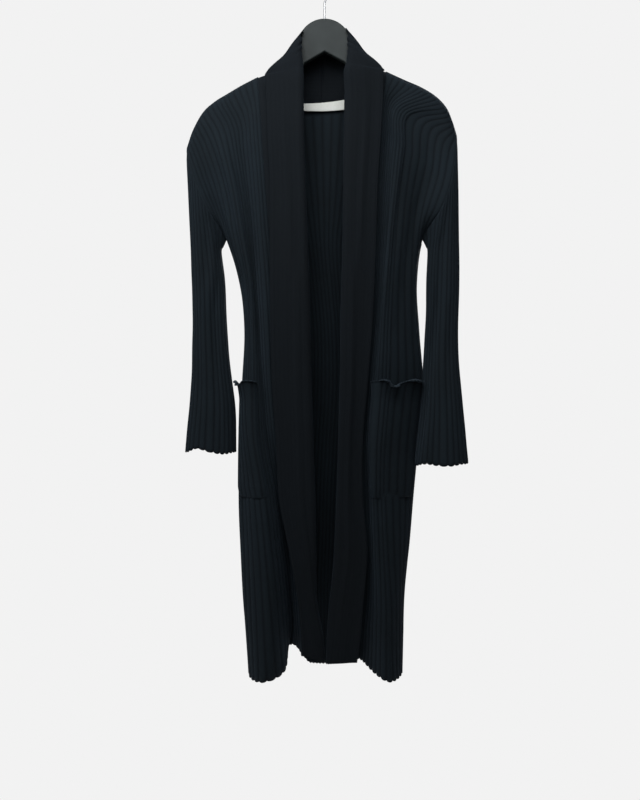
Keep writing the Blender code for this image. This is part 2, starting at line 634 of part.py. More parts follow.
def hanger_hook():
    """A bent wire: straight out of the head, out to one side and round over the rail."""
    top = WIRE_RADIUS - CURL_RADIUS
    route = list(HOOK_NECK)
    for degrees in CURL_DEGREES:
        angle = math.radians(degrees)
        route.append((CURL_RADIUS * math.cos(angle), top + CURL_RADIUS * math.sin(angle)))
    route = spline([(x, 0, z) for x, z in route], WIRE_STEPS)
    bm = bmesh.new()
    rings = []
    for k, point in enumerate(route):
        along = route[min(k + 1, len(route) - 1)] - route[max(k - 1, 0)]
        along /= np.linalg.norm(along)
        across = np.cross(along, (0, 1, 0))
        ring_points = []
        for s in range(WIRE_SIDES):
            angle = 2 * math.pi * s / WIRE_SIDES
            turned = math.cos(angle) * across + math.sin(angle) * np.array((0, 1, 0))
            ring_points.append(bm.verts.new(point + WIRE_RADIUS * turned))
        rings.append(ring_points)
    for low, high in zip(rings, rings[1:]):
        for s in range(WIRE_SIDES):
            after = (s + 1) % WIRE_SIDES
            bm.faces.new((low[s], low[after], high[after], high[s]))
    bm.faces.new(rings[0])
    bm.faces.new(rings[-1])
    return finish_object("hanger_hook", "wire", bm)


def cloth():
    """All cut pieces, with one common normal wherever two of them meet."""
    pieces = {}
    for name, table, outward in (("front_left", FRONT_LEFT, 1), ("front_right", FRONT_RIGHT, -1)):
        grid = front_grid(table)
        pieces[name] = {"name": name, "grid": grid, "outward": outward,
                        "normal": normals_of(grid, outward)}
    left = pieces["front_left"]["grid"]
    right = pieces["front_right"]["grid"]
    back = back_grid(left, right)
    pieces["back"] = {"name": "back", "grid": back, "outward": -1, "normal": normals_of(back, -1)}
    pieces["sleeve_left"] = sleeve("sleeve_left", left, back[:, 0], SLEEVE_LEFT, CUFF_WAVES_LEFT, 1)
    pieces["sleeve_right"] = sleeve("sleeve_right", right, back[:, -1], SLEEVE_RIGHT,
                                    CUFF_WAVES_RIGHT, -1)
    pieces["collar_left"] = band("collar_left", left, BAND_LEFT, 1)
    pieces["collar_right"] = band("collar_right", right, BAND_RIGHT, -1)
    share_normals(list(pieces.values()))
    panels = [pieces[name] for name in ("front_left", "front_right", "back")]
    known = {}
    for piece in panels:
        for point, normal in zip(piece["grid"].reshape(-1, 3), piece["normal"].reshape(-1, 3)):
            known[tuple(np.round(point, 1))] = normal
    for name in ("sleeve_left", "sleeve_right"):
        hole = pieces[name]["hole"]
        pieces[name]["hole_normal"] = np.array([known[tuple(np.round(p, 1))] for p in hole])
    return pieces


def main():
    for old in list(bpy.data.objects):
        bpy.data.objects.remove(old)
    pieces = cloth()
    for name in ("back", "front_left", "front_right"):
        grid = pieces[name]["grid"]
        for edge in ("left", "right", "top"):
            grid = pull_back(grid, edge)
        face, inside = ribbed(grid, pieces[name]["normal"], RIB_TIP_HEM)
        wall(name, "knit", face, inside)
    for name in ("sleeve_left", "sleeve_right"):
        sleeve_solid(pieces[name])
    for name in ("collar_left", "collar_right"):
        band_solid(pieces[name])
    pocket("pocket_left", pieces["front_left"])
    pocket("pocket_right", pieces["front_right"])
    label(pieces["back"])
    hanger_body()
    hanger_hook()


main()
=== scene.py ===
# %% [markdown]
# # A long rib-knit jacket on its hanger
#
# The real jacket is knitted in fine black ribs, cut into a back, two fronts, two sleeves and a
# wide band collar, and sewn. Here each cut piece is one sheet, placed by sections like those of
# its CAD solid, so the cloth hangs where the solid is, and only a few soft edges hang a little
# lower or wider. We start with the frame of the solids.

# %% Load the frame and keep its parts where they stand
import math

import bmesh
import bpy
import numpy as np
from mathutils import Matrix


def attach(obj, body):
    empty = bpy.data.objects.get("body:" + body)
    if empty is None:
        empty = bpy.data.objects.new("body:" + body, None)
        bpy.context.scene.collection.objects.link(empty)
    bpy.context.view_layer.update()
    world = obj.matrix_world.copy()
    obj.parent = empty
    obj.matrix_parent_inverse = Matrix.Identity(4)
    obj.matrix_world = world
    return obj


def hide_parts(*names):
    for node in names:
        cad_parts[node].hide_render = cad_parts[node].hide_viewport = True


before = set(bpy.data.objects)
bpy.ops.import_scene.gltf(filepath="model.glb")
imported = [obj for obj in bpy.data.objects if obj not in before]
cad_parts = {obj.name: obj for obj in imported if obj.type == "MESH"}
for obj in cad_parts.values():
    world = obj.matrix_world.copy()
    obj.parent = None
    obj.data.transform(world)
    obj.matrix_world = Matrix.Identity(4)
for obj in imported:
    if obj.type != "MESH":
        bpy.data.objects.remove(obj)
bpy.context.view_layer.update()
MM = 0.001
print("CAD nodes:", sorted(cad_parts))

# %% [markdown]
# A knitted rib is a soft, raised cord with a narrow valley beside it. Its pitch is about 8.5 mm,
# so a front has 18 of them and a sleeve 26. All sizes below are in millimetres and become metres
# only when a mesh is made, because a dressmaker thinks in millimetres.

# %% Sizes of the cloth
FRONT_RIBS = 18
NECK_RIBS = 16
BACK_RIBS = 2 * FRONT_RIBS + NECK_RIBS
SLEEVE_RIBS = 26
RIB_RISE = 1.1
FACE_LIFT = 0.7
RIB_ROUNDNESS = 0.62
RIB_FADE = 0.012
SIDE_EASE = 0.05
SHELL = 1.3
TIP_HEM = 2.2
TIP_CUFF = 2.6
SECOND_ROW = 0.3
FOLD_COLUMNS = (7, 7, 5, 7, 5, 5)
FOLD_HOLD = 0.7
SPLINE_STEPS = 12

# %% [markdown]
# A hung front is not flat: it rolls into a few long folds. Each row below is one level section
# from the hem up to the shoulder, and its points are the side, flank, crest, turn, valley, lip
# and band seam. A smooth curve through them gives the fold, as a pattern cutter's spline would.

# %% Sections of the fronts, from hem to shoulder
FRONT_LEFT = [
    [(-134, -2, -1228), (-129, -54, -1244), (-101, -88, -1241), (-70, -56, -1233),
     (-65, 8, -1208), (-47, -16, -1205), (-38, -48, -1212)],
    [(-138, 0, -1185), (-133, -50, -1188), (-102, -84, -1190), (-74, -56, -1186),
     (-58, 4, -1178), (-50, -18, -1178), (-40, -46, -1180)],
    [(-143, 2, -1115), (-138, -46, -1115), (-104, -76, -1115), (-78, -54, -1115),
     (-61, -6, -1115), (-54, -20, -1115), (-45, -42, -1115)],
    [(-147, 2, -1030), (-142, -40, -1030), (-108, -70, -1030), (-84, -52, -1030),
     (-68, -22, -1030), (-60, -26, -1030), (-52, -42, -1030)],
    [(-149, 2, -936), (-146, -34, -936), (-115, -64, -936), (-92, -54, -936),
     (-80, -36, -936), (-71, -36, -936), (-62, -44, -936)],
    [(-148, 2, -840), (-146, -30, -840), (-124, -57, -840), (-108, -56, -840),
     (-97, -48, -840), (-85, -50, -840), (-72, -46, -840)],
    [(-146, 2, -740), (-144, -25, -740), (-129, -50, -740), (-117, -49, -740),
     (-107, -43, -740), (-95, -54, -740), (-80, -48, -740)],
    [(-142, 2, -640), (-140, -22, -640), (-131, -42, -640), (-124, -42, -640),
     (-116, -36, -640), (-101, -54, -640), (-84, -48, -640)],
    [(-152, 2, -556), (-148, -22, -556), (-136, -42, -556), (-130, -40, -556),
     (-122, -34, -556), (-106, -52, -556), (-89, -48, -556)],
    [(-176, 0, -477), (-172, -22, -477), (-151, -44, -477), (-138, -41, -477),
     (-127, -33, -477), (-111, -48, -477), (-97, -46, -477)],
    [(-204, -26, -434), (-188, -20, -425), (-162, -42, -412), (-147, -38, -406),
     (-134, -31, -402), (-117, -43, -396), (-104, -43, -390)],
    [(-224, -27, -392), (-204, -19, -372), (-177, -33, -346), (-158, -30, -336),
     (-142, -25, -330), (-124, -35, -320), (-110, -37, -310)],
    [(-238, -20, -352), (-221, -17, -322), (-197, -20, -293), (-172, -20, -280),
     (-150, -18, -272), (-131, -25, -255), (-115, -27, -240)],
    [(-246, -8, -322), (-235, -9, -290), (-217, -9.5, -258), (-196, -9.5, -240),
     (-175, -9.5, -227), (-148, -9.5, -211), (-119, -9.5, -196)],
    [(-247, 0, -314), (-236, 0, -282), (-218, 0, -250), (-197, 0, -231),
     (-176, 0, -218), (-149, 0, -202), (-120, 0, -187)],
]
FRONT_RIGHT = [
    [(134, -2, -1228), (133, -48, -1240), (110, -82, -1243), (87, -66, -1234),
     (66, -42, -1220), (54, -42, -1216), (42, -48, -1213)],
    [(136, 0, -1185), (134, -46, -1188), (108, -78, -1190), (88, -66, -1186),
     (69, -40, -1180), (56, -42, -1180), (44, -48, -1180)],
    [(141, 2, -1115), (135, -44, -1115), (106, -74, -1115), (89, -66, -1115),
     (75, -40, -1115), (61, -42, -1115), (48, -48, -1115)],
    [(151, 2, -1030), (140, -42, -1030), (98, -68, -1030), (86, -62, -1030),
     (74, -42, -1030), (60, -44, -1030), (48, -48, -1030)],
    [(159, 2, -936), (146, -38, -936), (92, -64, -936), (82, -60, -936),
     (72, -42, -936), (58, -46, -936), (47, -48, -936)],
    [(168, 2, -840), (153.5, -34, -840), (91, -62, -840), (80, -58, -840),
     (72, -42, -840), (61, -46, -840), (51, -48, -840)],
    [(176, 2, -740), (163.5, -31, -740), (99, -60, -740), (88, -55, -740),
     (77, -42, -740), (67, -46, -740), (57, -48, -740)],
    [(169, 2, -640), (157, -30, -640), (103, -58, -640), (96, -52, -640),
     (88, -42, -640), (77, -46, -640), (68, -48, -640)],
    [(165, 2, -556), (155, -28, -556), (109, -56, -556), (102, -50, -556),
     (95, -42, -556), (84, -46, -556), (74, -48, -556)],
    [(176, 0, -477), (161, -25, -477), (116, -52, -477), (108, -46, -477),
     (99, -38, -477), (89, -43, -477), (80, -46, -477)],
    [(205, -26, -430), (168, -21, -412), (122, -47, -395), (113, -42, -392),
     (104, -34, -390), (95, -39, -388), (87, -42, -385)],
    [(222, -27, -385), (180, -18, -350), (128, -39, -320), (119, -34, -314),
     (109, -28, -308), (101, -33, -304), (95, -37, -300)],
    [(232, -20, -335), (188, -17, -284), (134, -28, -255), (125, -25, -248),
     (116, -20, -240), (109, -23, -236), (103, -27, -232)],
    [(236, -8, -300), (228, -9, -274), (217, -9.5, -249), (198, -9.5, -229),
     (172, -9.5, -213), (142, -9.5, -200), (109.5, -9.5, -186)],
    [(237, 0, -292), (229, 0, -266), (218, 0, -241), (199, 0, -221),
     (173, 0, -205), (143, 0, -192), (110.5, 0, -177)],
]
print("rows of a front:", len(FRONT_LEFT), "points in a row:", len(FRONT_LEFT[0]))

# %% Sections of the back and of its neck
BACK = [
    (38, 44, 34, 50, 36, -1217), (38, 43, 34, 49, 36, -1180), (38, 42, 35, 48, 36, -1115),
    (38, 43, 37, 47, 37, -1030), (39, 44, 38, 46, 38, -936), (40, 45, 40, 46, 39, -840),
    (40, 45, 41, 46, 40, -740), (40, 44, 41, 45, 40, -640), (38, 43, 41, 44, 38, -556),
    (36, 42, 41, 42, 36, -477),
]
BACK_SHARES = (0.07, 0.28, 0.62)
BACK_YOKE = [(0.264, 0.13, 24), (0.52, 0.30, 25), (0.767, 0.52, 19), (0.968, 0.72, 8.5)]
EDGE_EASE = 0.12
NECK_LINE = [
    (0.00, 0.0, 0.00), (0.06, 8.0, 0.08), (0.14, 15.0, 0.24), (0.25, 21.5, 0.46),
    (0.38, 28.0, 0.65), (0.52, 33.0, 0.80), (0.68, 36.5, 0.91), (0.84, 38.3, 0.98),
    (1.00, 39.0, 1.00),
]
NECK_CENTRE = (-4.6, -219.0)

# %% Sections of the band collar
BAND_LEFT = [
    (-0.6, -66, -38, -74), (-2.2, -65, -40, -72), (-13, -62, -46, -68), (-15, -61, -61, -64),
    (-17, -60, -79, -62), (-20, -60, -84, -62), (-23, -60, -91, -63), (-25, -60, -94, -63),
    (-27, -60, -95, -62), (-30, -59, -95, -60), (-33, -57, -95, -56), (-36, -54, -99, -50),
    (-37, -50, -102, -42), (-37.5, -46, -105, -36),
]
BAND_RIGHT = [
    (2.2, -68, 55, -76), (3.6, -67, 60, -74), (8, -64, 66, -70), (16, -62, 73, -66),
    (20, -61, 66, -63), (23, -60, 66, -61), (26, -60, 74, -62), (27, -60, 82, -61),
    (29, -60, 86, -61), (31, -59, 89, -59), (32, -57, 92, -56), (34, -54, 98, -50),
    (35, -50, 102, -42), (35.5, -46, 104, -36),
]
BAND_NECK = [
    ((-38, -43, -186), (-105, -34, -195), 2, 6), ((-39, -40, -172), (-99, -34, -186), 6, 6),
    ((-40, -36, -160), (-88, -31, -174), 10, 6), ((-40, -31, -146), (-72, -27, -158), 11, 5),
    ((-40, -24, -131), (-56, -22, -133), 9, 4), ((-43.5, -13.5, -117), (-37.4, -13.5, -106), 4, 3),
    ((-56, 6, -131), (-46, 7, -108), 0, 1), ((-25, 23, -133), (-24, 20, -97), 0, 0),
    ((0, 27, -134), (0, 23, -95), 0, 0),
]
# How far below its seam the band ends at the hem: at the roll and at the free edge.
BAND_HEM = {1: (4.0, -10.0), -1: (3.5, 1.0)}
UNDER_STEPS = (0, 0.25, 0.5, 0.75, 0.93)
FALL_STEPS = (0.07, 0.25, 0.5, 0.75, 1.0)
ROLL_RADIUS = 4.5
FALL_BULGE = 2.0

# %% Sections of the sleeves and the waves of their cuffs
SLEEVE_LEFT = [
    (-500, -238.5, -187, -2, 22, 0.00), (-550, -236.5, -180.5, -4, 22, 0.04),
    (-610, -235.0, -178.0, -6, 22, 0.08), (-670, -235.0, -174.0, -8, 22, 0.10),
    (-725, -235.5, -168.0, -10, 23, 0.08), (-775, -239.0, -161.5, -12, 24, 0.06),
    (-820, -243.0, -159.5, -13, 25, 0.05), (-857, -246.0, -159.0, -14, 26, 0.05),
]
SLEEVE_RIGHT = [
    (-500, 239.5, 187, -3, 22, 0.00), (-550, 239.0, 184.0, -7, 22, 0.04),
    (-610, 236.5, 182.5, -12, 22, 0.08), (-670, 235.5, 179.0, -18, 22, 0.10),
    (-725, 237.0, 174.0, -28, 21, 0.08), (-780, 240.5, 169.5, -37, 22, 0.06),
    (-835, 244.5, 163.0, -43, 24, 0.05), (-879, 247.5, 158.0, -47, 26, 0.05),
]
ARMHOLE_BLEND = (0.10, 0.30, 0.62)
CUFF_WAVES_LEFT = [(0.18, 0.06, 7.0), (0.33, 0.07, -3.0), (0.62, 0.08, 5.0), (0.85, 0.07, 4.0)]
CUFF_WAVES_RIGHT = [(0.00, 0.10, 6.0), (0.14, 0.06, 3.0), (0.36, 0.08, 4.0), (0.66, 0.07, 5.0),
                    (0.88, 0.06, 3.0)]

# %% [markdown]
# The sections become a surface in two steps. A spline runs through the points of each section,
# and a second one runs along the piece through all the sections. Because the sections are not
# evenly spaced, the second one weighs its slopes by the distances, which stops it overshooting.

# %% Curves through points and rows
def spline(points, steps=SPLINE_STEPS):
    """A smooth curve through the points, as a dense polyline."""
    points = np.array(points, float)
    ends = np.vstack([2 * points[0] - points[1], points, 2 * points[-1] - points[-2]])
    out = []
    for a, b, c, d in zip(ends, ends[1:], ends[2:], ends[3:]):
        t = np.linspace(0, 1, steps, endpoint=False)[:, None]
        out.append(0.5 * (2 * b + (c - a) * t + (2 * a - 5 * b + 4 * c - d) * t ** 2
                          + (3 * b - a - 3 * c + d) * t ** 3))
    return np.vstack(out + [points[-1:]])


def spaced(line, count):
    """The polyline read at count + 1 places, evenly along its length."""
    step = np.linalg.norm(np.diff(line, axis=0), axis=1)
    along = np.concatenate([[0], np.cumsum(step)])
    places = np.linspace(0, along[-1], count + 1)
    return np.stack([np.interp(places, along, line[:, k]) for k in range(3)], axis=1)


def smooth_step(t):
    """0 below 0 and 1 above 1, with a soft start and end between them."""
    t = np.clip(t, 0, 1)
    return t * t * (3 - 2 * t)


def bell(x, centre, width):
    """1 at the centre, and softly down to 0 on both sides."""
    return np.exp(-((x - centre) / width) ** 2)


def unit(vectors):
    return vectors / np.linalg.norm(vectors, axis=-1, keepdims=True)


def shares(columns, rows):
    """How far across and how far up each column and each row of a piece lies, from 0 to 1."""
    return np.linspace(0, 1, columns + 1)[None, :], np.linspace(0, 1, rows + 1)[:, None]


def row_knots(rows):
    """How far along the piece each section lies."""
    step = np.linalg.norm(np.diff(rows, axis=0), axis=2).mean(axis=1)
    return np.concatenate([[0], np.cumsum(step)])


def even_places(rows, count):
    """Row numbers, fractions included, that lie evenly along the piece."""
    knots = row_knots(rows)
    return np.interp(np.linspace(0, knots[-1], count + 1), knots, np.arange(len(rows)))


def lengthwise(rows, places):
    """A smooth surface through the rows, read at those places in row numbers."""
    rows = np.asarray(rows, float)
    knots = row_knots(rows)
    step = np.diff(knots)[:, None, None]
    slope = np.diff(rows, axis=0) / step
    tangent = np.concatenate([slope[:1], slope[:1].repeat(len(rows) - 2, 0), slope[-1:]])
    tangent[1:-1] = (step[1:] * slope[:-1] + step[:-1] * slope[1:]) / (step[1:] + step[:-1])
    at = np.interp(places, np.arange(len(rows)), knots)
    k = np.clip(np.searchsorted(knots, at, side="right") - 1, 0, len(rows) - 2)
    h = step[k]
    t = (at - knots[k])[:, None, None] / h
    return ((2 * t ** 3 - 3 * t ** 2 + 1) * rows[k] + (t ** 3 - 2 * t ** 2 + t) * h * tangent[k]
            + (3 * t ** 2 - 2 * t ** 3) * rows[k + 1] + (t ** 3 - t ** 2) * h * tangent[k + 1])


def normals_of(grid, outward, closed=False):
    """Unit normals of a grid of points, turned to the outside."""
    if closed:
        across = np.roll(grid, -1, axis=1) - np.roll(grid, 1, axis=1)
    else:
        across = np.gradient(grid, axis=1)
    normal = outward * np.cross(across, np.gradient(grid, axis=0))
    return normal / np.maximum(np.linalg.norm(normal, axis=2, keepdims=True), 1e-9)


# %% [markdown]
# Ribs, creases and the slight unevenness of a knit are all moves along the cloth's own normal,
# added to the smooth surface. Ribs are rounded with a sharp valley. Creases are listed one by one,
# each with its own start, end, depth and width, because real folds never repeat evenly.

# %% Relief of the cloth
def rib_height(across, ribs):
    """0 in a valley and 1 on a crest, for shares across a piece with that many ribs."""
    return np.abs(np.sin(math.pi * across * ribs)) ** RIB_ROUNDNESS


def crease_depth(across, up, width, creases):
    """Long soft folds. Each is its start and end (share across, share up), depth and half width
    in millimetres, and the side on which the cloth rolls up beside the valley."""
    total = np.zeros(np.broadcast(across, up).shape)
    for (a0, v0), (a1, v1), depth, half, side in creases:
        t = (up - v0) / (v1 - v0)
        centre = a0 + (a1 - a0) * t + 0.012 * np.sin(math.pi * t)
        fade = np.where((t > 0) & (t < 1), np.sin(math.pi * np.clip(t, 0, 1)), 0) ** 0.7
        away = (across - centre) * width
        beside = 0.6 * bell(away, 1.9 * side * half, 1.3 * half)
        total += fade * depth * (beside - bell(away, 0, half))
    return total


def unevenness(across, up, seed):
    """A knit is never quite even: slow hollows and swells of well under a millimetre."""
    return (0.30 * np.sin(7.3 * up + 5.1 * across + seed) * np.sin(9.7 * across + 2 * seed)
            + 0.22 * np.sin(17.9 * up - 6.3 * across + 3 * seed)
            + 0.10 * np.sin(41.0 * up + 23.0 * across + 5 * seed))


def raise_ribs(smooth, normal, rib, soft, tip):
    """Lifts ribs and creases off a smooth surface, with a small scallop under each rib."""
    face = smooth + normal * (FACE_LIFT + RIB_RISE * rib + soft)[..., None]
    face[0, :, 2] -= tip * rib[0]
    face[1, :, 2] -= SECOND_ROW * tip * rib[1]
    return face


# %% [markdown]
# One helper makes every cloth mesh. It starts from a flat grid with UVs, as if the cut piece lay
# on a table, and then puts each vertex of that grid where the piece hangs. The UV map keeps the
# cloth's own measure: ribs across and millimetres along, which the knit material reads later.

# %% Make a sheet of cloth from a grid of points
WELD = 1e-4


def keep_object(name, bm, material):
    """Turns a bmesh in millimetres into a named object in metres that rides on the body."""
    bmesh.ops.scale(bm, vec=(MM, MM, MM), verts=bm.verts)
    mesh = bpy.data.meshes.new(name)
    bm.to_mesh(mesh)
    bm.free()
    mesh.shade_smooth()
    made = bpy.data.objects.new(name, mesh)
    mesh.materials.append(material)
    bpy.context.scene.collection.objects.link(made)
    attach(made, "root")
    return made


def hung_grid(points, outward, uv_size, closed=False):
    """A bmesh grid, flat at first, with each vertex moved to its place on the hung piece."""
    rows, columns = points.shape[0] - 1, points.shape[1] - 1
    bm = bmesh.new()
    layer = bm.loops.layers.uv.new("UVMap")
    bmesh.ops.create_grid(bm, x_segments=columns, y_segments=rows, size=1, calc_uvs=True)
    for face in bm.faces:
        for loop in face.loops:
            flat = loop.vert.co
            loop[layer].uv = ((flat.x + 1) / 2 * uv_size[0], (flat.y + 1) / 2 * uv_size[1])
    for vert in bm.verts:
        column = round((vert.co.x + 1) / 2 * columns)
        row = round((vert.co.y + 1) / 2 * rows)
        vert.co = points[row, column]
    if closed:
        bmesh.ops.remove_doubles(bm, verts=bm.verts, dist=WELD)
    if outward < 0:
        bmesh.ops.reverse_faces(bm, faces=bm.faces)
    return bm


def give_thickness(made, thickness):
    """Live thickness, inwards from the face, so the face stays where it was placed."""
    wall = made.modifiers.new("thickness", "SOLIDIFY")
    wall.thickness = thickness * MM
    wall.offset = -1
    wall.use_quality_normals = True
    return made


# %% Measure a piece and hang it
def length_of(surface):
    return np.linalg.norm(np.diff(surface, axis=0), axis=2).sum(axis=0).mean()


def area_of(surface):
    a, b = np.diff(surface, axis=1)[:-1], np.diff(surface, axis=0)[:, :-1]
    return np.linalg.norm(np.cross(a, b), axis=2).sum() * 1e-6


def widest(surface):
    return np.linalg.norm(np.diff(surface, axis=1), axis=2).sum(axis=1).max()


def rolled(points):
    """Repeats the first column as the last, so that the sheet closes into a tube."""
    return np.concatenate([points, points[:, :1]], axis=1)


def hang_piece(name, part, outward, ribs, material, shell=SHELL, node=None):
    """Makes a piece of cloth and returns it with what the pieces sewn to it need to know."""
    face, smooth, length = part["face"], part["smooth"], length_of(part["smooth"])
    closed = part.get("closed", False)
    if closed:
        face, smooth = rolled(face), rolled(smooth)
    bm = hung_grid(face, outward, (ribs, length), closed)
    made = give_thickness(keep_object(name, bm, material), shell)
    if node:
        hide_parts(node)
    print(made.name, "width", round(widest(smooth)), "length", round(length_of(smooth), 1),
          "area", round(area_of(smooth), 5))
    return {**part, "object": made, "outward": outward, "surface": smooth}


cloth = {}


# %% [markdown]
# ## Finishes
#
# Near-black yarn is never pure black: each rib has a soft sheen on its crest and drops into
# shade in its valley, and at arm's length the small V stitches show. Here that sheen and shade
# are painted into the base colour, and so is a painted shade between the stitch legs. The rib
# shade and the stitches are node groups, because the body, the band, the pockets and the seams
# all use them.

# %% Small helpers to lay out shader nodes
def new_group(name, inputs, outputs):
    """An empty node group with the named float sockets."""
    group = bpy.data.node_groups.new(name, "ShaderNodeTree")
    for label, value in inputs:
        socket = group.interface.new_socket(label, in_out="INPUT", socket_type="NodeSocketFloat")
        socket.default_value = value
    for label in outputs:
        group.interface.new_socket(label, in_out="OUTPUT", socket_type="NodeSocketFloat")
    return group, group.nodes.new("NodeGroupInput"), group.nodes.new("NodeGroupOutput")


def calculate(tree, operation, *values):
    """A Math node. A value is a number or another node's output."""
    node = tree.nodes.new("ShaderNodeMath")
    node.operation = operation
    for socket, value in zip(node.inputs, values):
        if isinstance(value, (int, float)):
            socket.default_value = value
        else:
            tree.links.new(value, socket)
    return node.outputs[0]


# %% Stitches of the knit, as a group
STITCHES_PER_RIB = 6.0
COURSE = 1.3


def make_stitches():
    """Height of V stitches, from a place counted in ribs across and millimetres along."""
    group, given, out = new_group("v_stitches", [("Across", 0.0), ("Along", 0.0),
                                                 ("Wales", STITCHES_PER_RIB),
                                                 ("Course", COURSE)], ["Height"])
    wale = calculate(group, "FRACT", calculate(group, "MULTIPLY", given.outputs["Across"],
                                               given.outputs["Wales"]))
    lean = calculate(group, "ABSOLUTE", calculate(group, "SUBTRACT", wale, 0.5))
    course = calculate(group, "DIVIDE", given.outputs["Along"], given.outputs["Course"])
    turn = calculate(group, "MULTIPLY", calculate(group, "ADD", course, lean), 2 * math.pi)
    strand = calculate(group, "MULTIPLY", calculate(group, "SINE", turn), 0.35)
    round_leg = calculate(group, "ABSOLUTE",
                          calculate(group, "SINE", calculate(group, "MULTIPLY", wale, 2 * math.pi)))
    height = calculate(group, "MULTIPLY", round_leg, calculate(group, "ADD", strand, 0.65))
    group.links.new(height, out.inputs["Height"])
    return group


STITCHES = make_stitches()

# %% Shade between the ribs, as a group
def make_rib_shade():
    """1 on the crest of a rib and 0 in the valley, from a place counted in ribs across."""
    group, given, out = new_group("rib_shade", [("Across", 0.0), ("Sharpness", 0.7)], ["Crest"])
    turn = calculate(group, "MULTIPLY", given.outputs["Across"], math.pi)
    wave = calculate(group, "ABSOLUTE", calculate(group, "SINE", turn))
    crest = calculate(group, "POWER", wave, given.outputs["Sharpness"])
    group.links.new(crest, out.inputs["Crest"])
    return group


RIB_SHADE = make_rib_shade()

# %% Fibres and handling, as a group
def make_fibres():
    """Fine fibre noise for the bump, and slow patches where handling has lifted the nap."""
    group, given, out = new_group("fibres_and_nap", [("Fineness", 1400.0), ("Patches", 9.0)],
                                  ["Fibre", "Nap"])
    place = group.nodes.new("ShaderNodeTexCoord")
    for label, scale, detail, name in (("Fibre", "Fineness", 3.0, "fibres"),
                                       ("Nap", "Patches", 4.0, "nap")):
        noise = group.nodes.new("ShaderNodeTexNoise")
        noise.label = name
        noise.inputs["Detail"].default_value = detail
        group.links.new(place.outputs["Object"], noise.inputs["Vector"])
        group.links.new(given.outputs[scale], noise.inputs["Scale"])
        group.links.new(noise.outputs["Fac"], out.inputs[label])
    return group


FIBRES = make_fibres()

# %% The knit material
def start_material(name):
    made = bpy.data.materials.new(name)
    made.use_nodes = True
    return made, made.node_tree, made.node_tree.nodes["Principled BSDF"]


def place_group(tree, group, **values):
    """Puts a node group in a material. Values are numbers or outputs to link."""
    node = tree.nodes.new("ShaderNodeGroup")
    node.node_tree = group
    for label, value in values.items():
        if isinstance(value, (int, float)):
            node.inputs[label].default_value = value
        else:
            tree.links.new(value, node.inputs[label])
    return node


def ramp(tree, fac, low, high, start=0.0, end=1.0):
    """A colour that goes from low to high as fac goes from start to end."""
    node = tree.nodes.new("ShaderNodeValToRGB")
    node.color_ramp.elements[0].position = start
    node.color_ramp.elements[0].color = (*low, 1)
    node.color_ramp.elements[1].position = end
    node.color_ramp.elements[1].color = (*high, 1)
    tree.links.new(fac, node.inputs["Fac"])
    return node.outputs["Color"]


def multiply(tree, a, b):
    """One colour times another."""
    node = tree.nodes.new("ShaderNodeMix")
    node.data_type = "RGBA"
    node.blend_type = "MULTIPLY"
    node.inputs[0].default_value = 1.0
    tree.links.new(a, node.inputs[6])
    tree.links.new(b, node.inputs[7])
    return node.outputs[2]


def bump(tree, heights, normal_socket):
    """Bumps on top of each other. Each is a height output, a strength and a distance in metres."""
    last = None
    for height, strength, distance in heights:
        node = tree.nodes.new("ShaderNodeBump")
        node.inputs["Strength"].default_value = strength
        node.inputs["Distance"].default_value = distance
        tree.links.new(height, node.inputs["Height"])
        if last is not None:
            tree.links.new(last, node.inputs["Normal"])
        last = node.outputs["Normal"]
    tree.links.new(last, normal_socket)


def knit_material(name, valley, crest, rough, sheen, wales=STITCHES_PER_RIB, sharpness=0.7):
    """Near-black rib knit: painted valley shade, painted crest sheen, V stitches and fibres."""
    made, tree, shader = start_material(name)
    uv = tree.nodes.new("ShaderNodeUVMap")
    uv.uv_map = "UVMap"
    split = tree.nodes.new("ShaderNodeSeparateXYZ")
    tree.links.new(uv.outputs["UV"], split.inputs[0])
    across, along = split.outputs["X"], split.outputs["Y"]
    shade = place_group(tree, RIB_SHADE, Across=across, Sharpness=sharpness)
    stitches = place_group(tree, STITCHES, Across=across, Along=along, Wales=wales)
    fibres = place_group(tree, FIBRES)
    # Painted shade and sheen: the valley colour is painted shade, the crest colour painted sheen.
    painted_rib_shading = ramp(tree, shade.outputs["Crest"], valley, crest, 0.15, 0.9)
    worn = ramp(tree, fibres.outputs["Nap"], (0.86, 0.86, 0.86), (1.18, 1.19, 1.22), 0.35, 0.68)
    colour = multiply(tree, painted_rib_shading, worn)
    # Painted shade between the stitch legs and painted sheen on them, from the stitch height.
    painted_stitch_shade = ramp(tree, stitches.outputs["Height"], (0.7, 0.7, 0.7), (1.1, 1.1, 1.1), 0.0, 0.8)
    colour = multiply(tree, colour, painted_stitch_shade)
    tree.links.new(colour, shader.inputs["Base Color"])
    dull = ramp(tree, fibres.outputs["Nap"], (rough - 0.08,) * 3, (rough + 0.08,) * 3, 0.3, 0.7)
    tree.links.new(dull, shader.inputs["Roughness"])
    shader.inputs["Specular IOR Level"].default_value = 0.13
    shader.inputs["Specular Tint"].default_value = (0.72, 0.86, 1.0, 1)
    shader.inputs["Sheen Weight"].default_value = sheen
    shader.inputs["Sheen Roughness"].default_value = 0.42
    shader.inputs["Sheen Tint"].default_value = (0.55, 0.75, 1.0, 1)
    bump(tree, [(stitches.outputs["Height"], 0.55, 0.0006),
                (fibres.outputs["Fibre"], 0.25, 0.0003)], shader.inputs["Normal"])
    return made


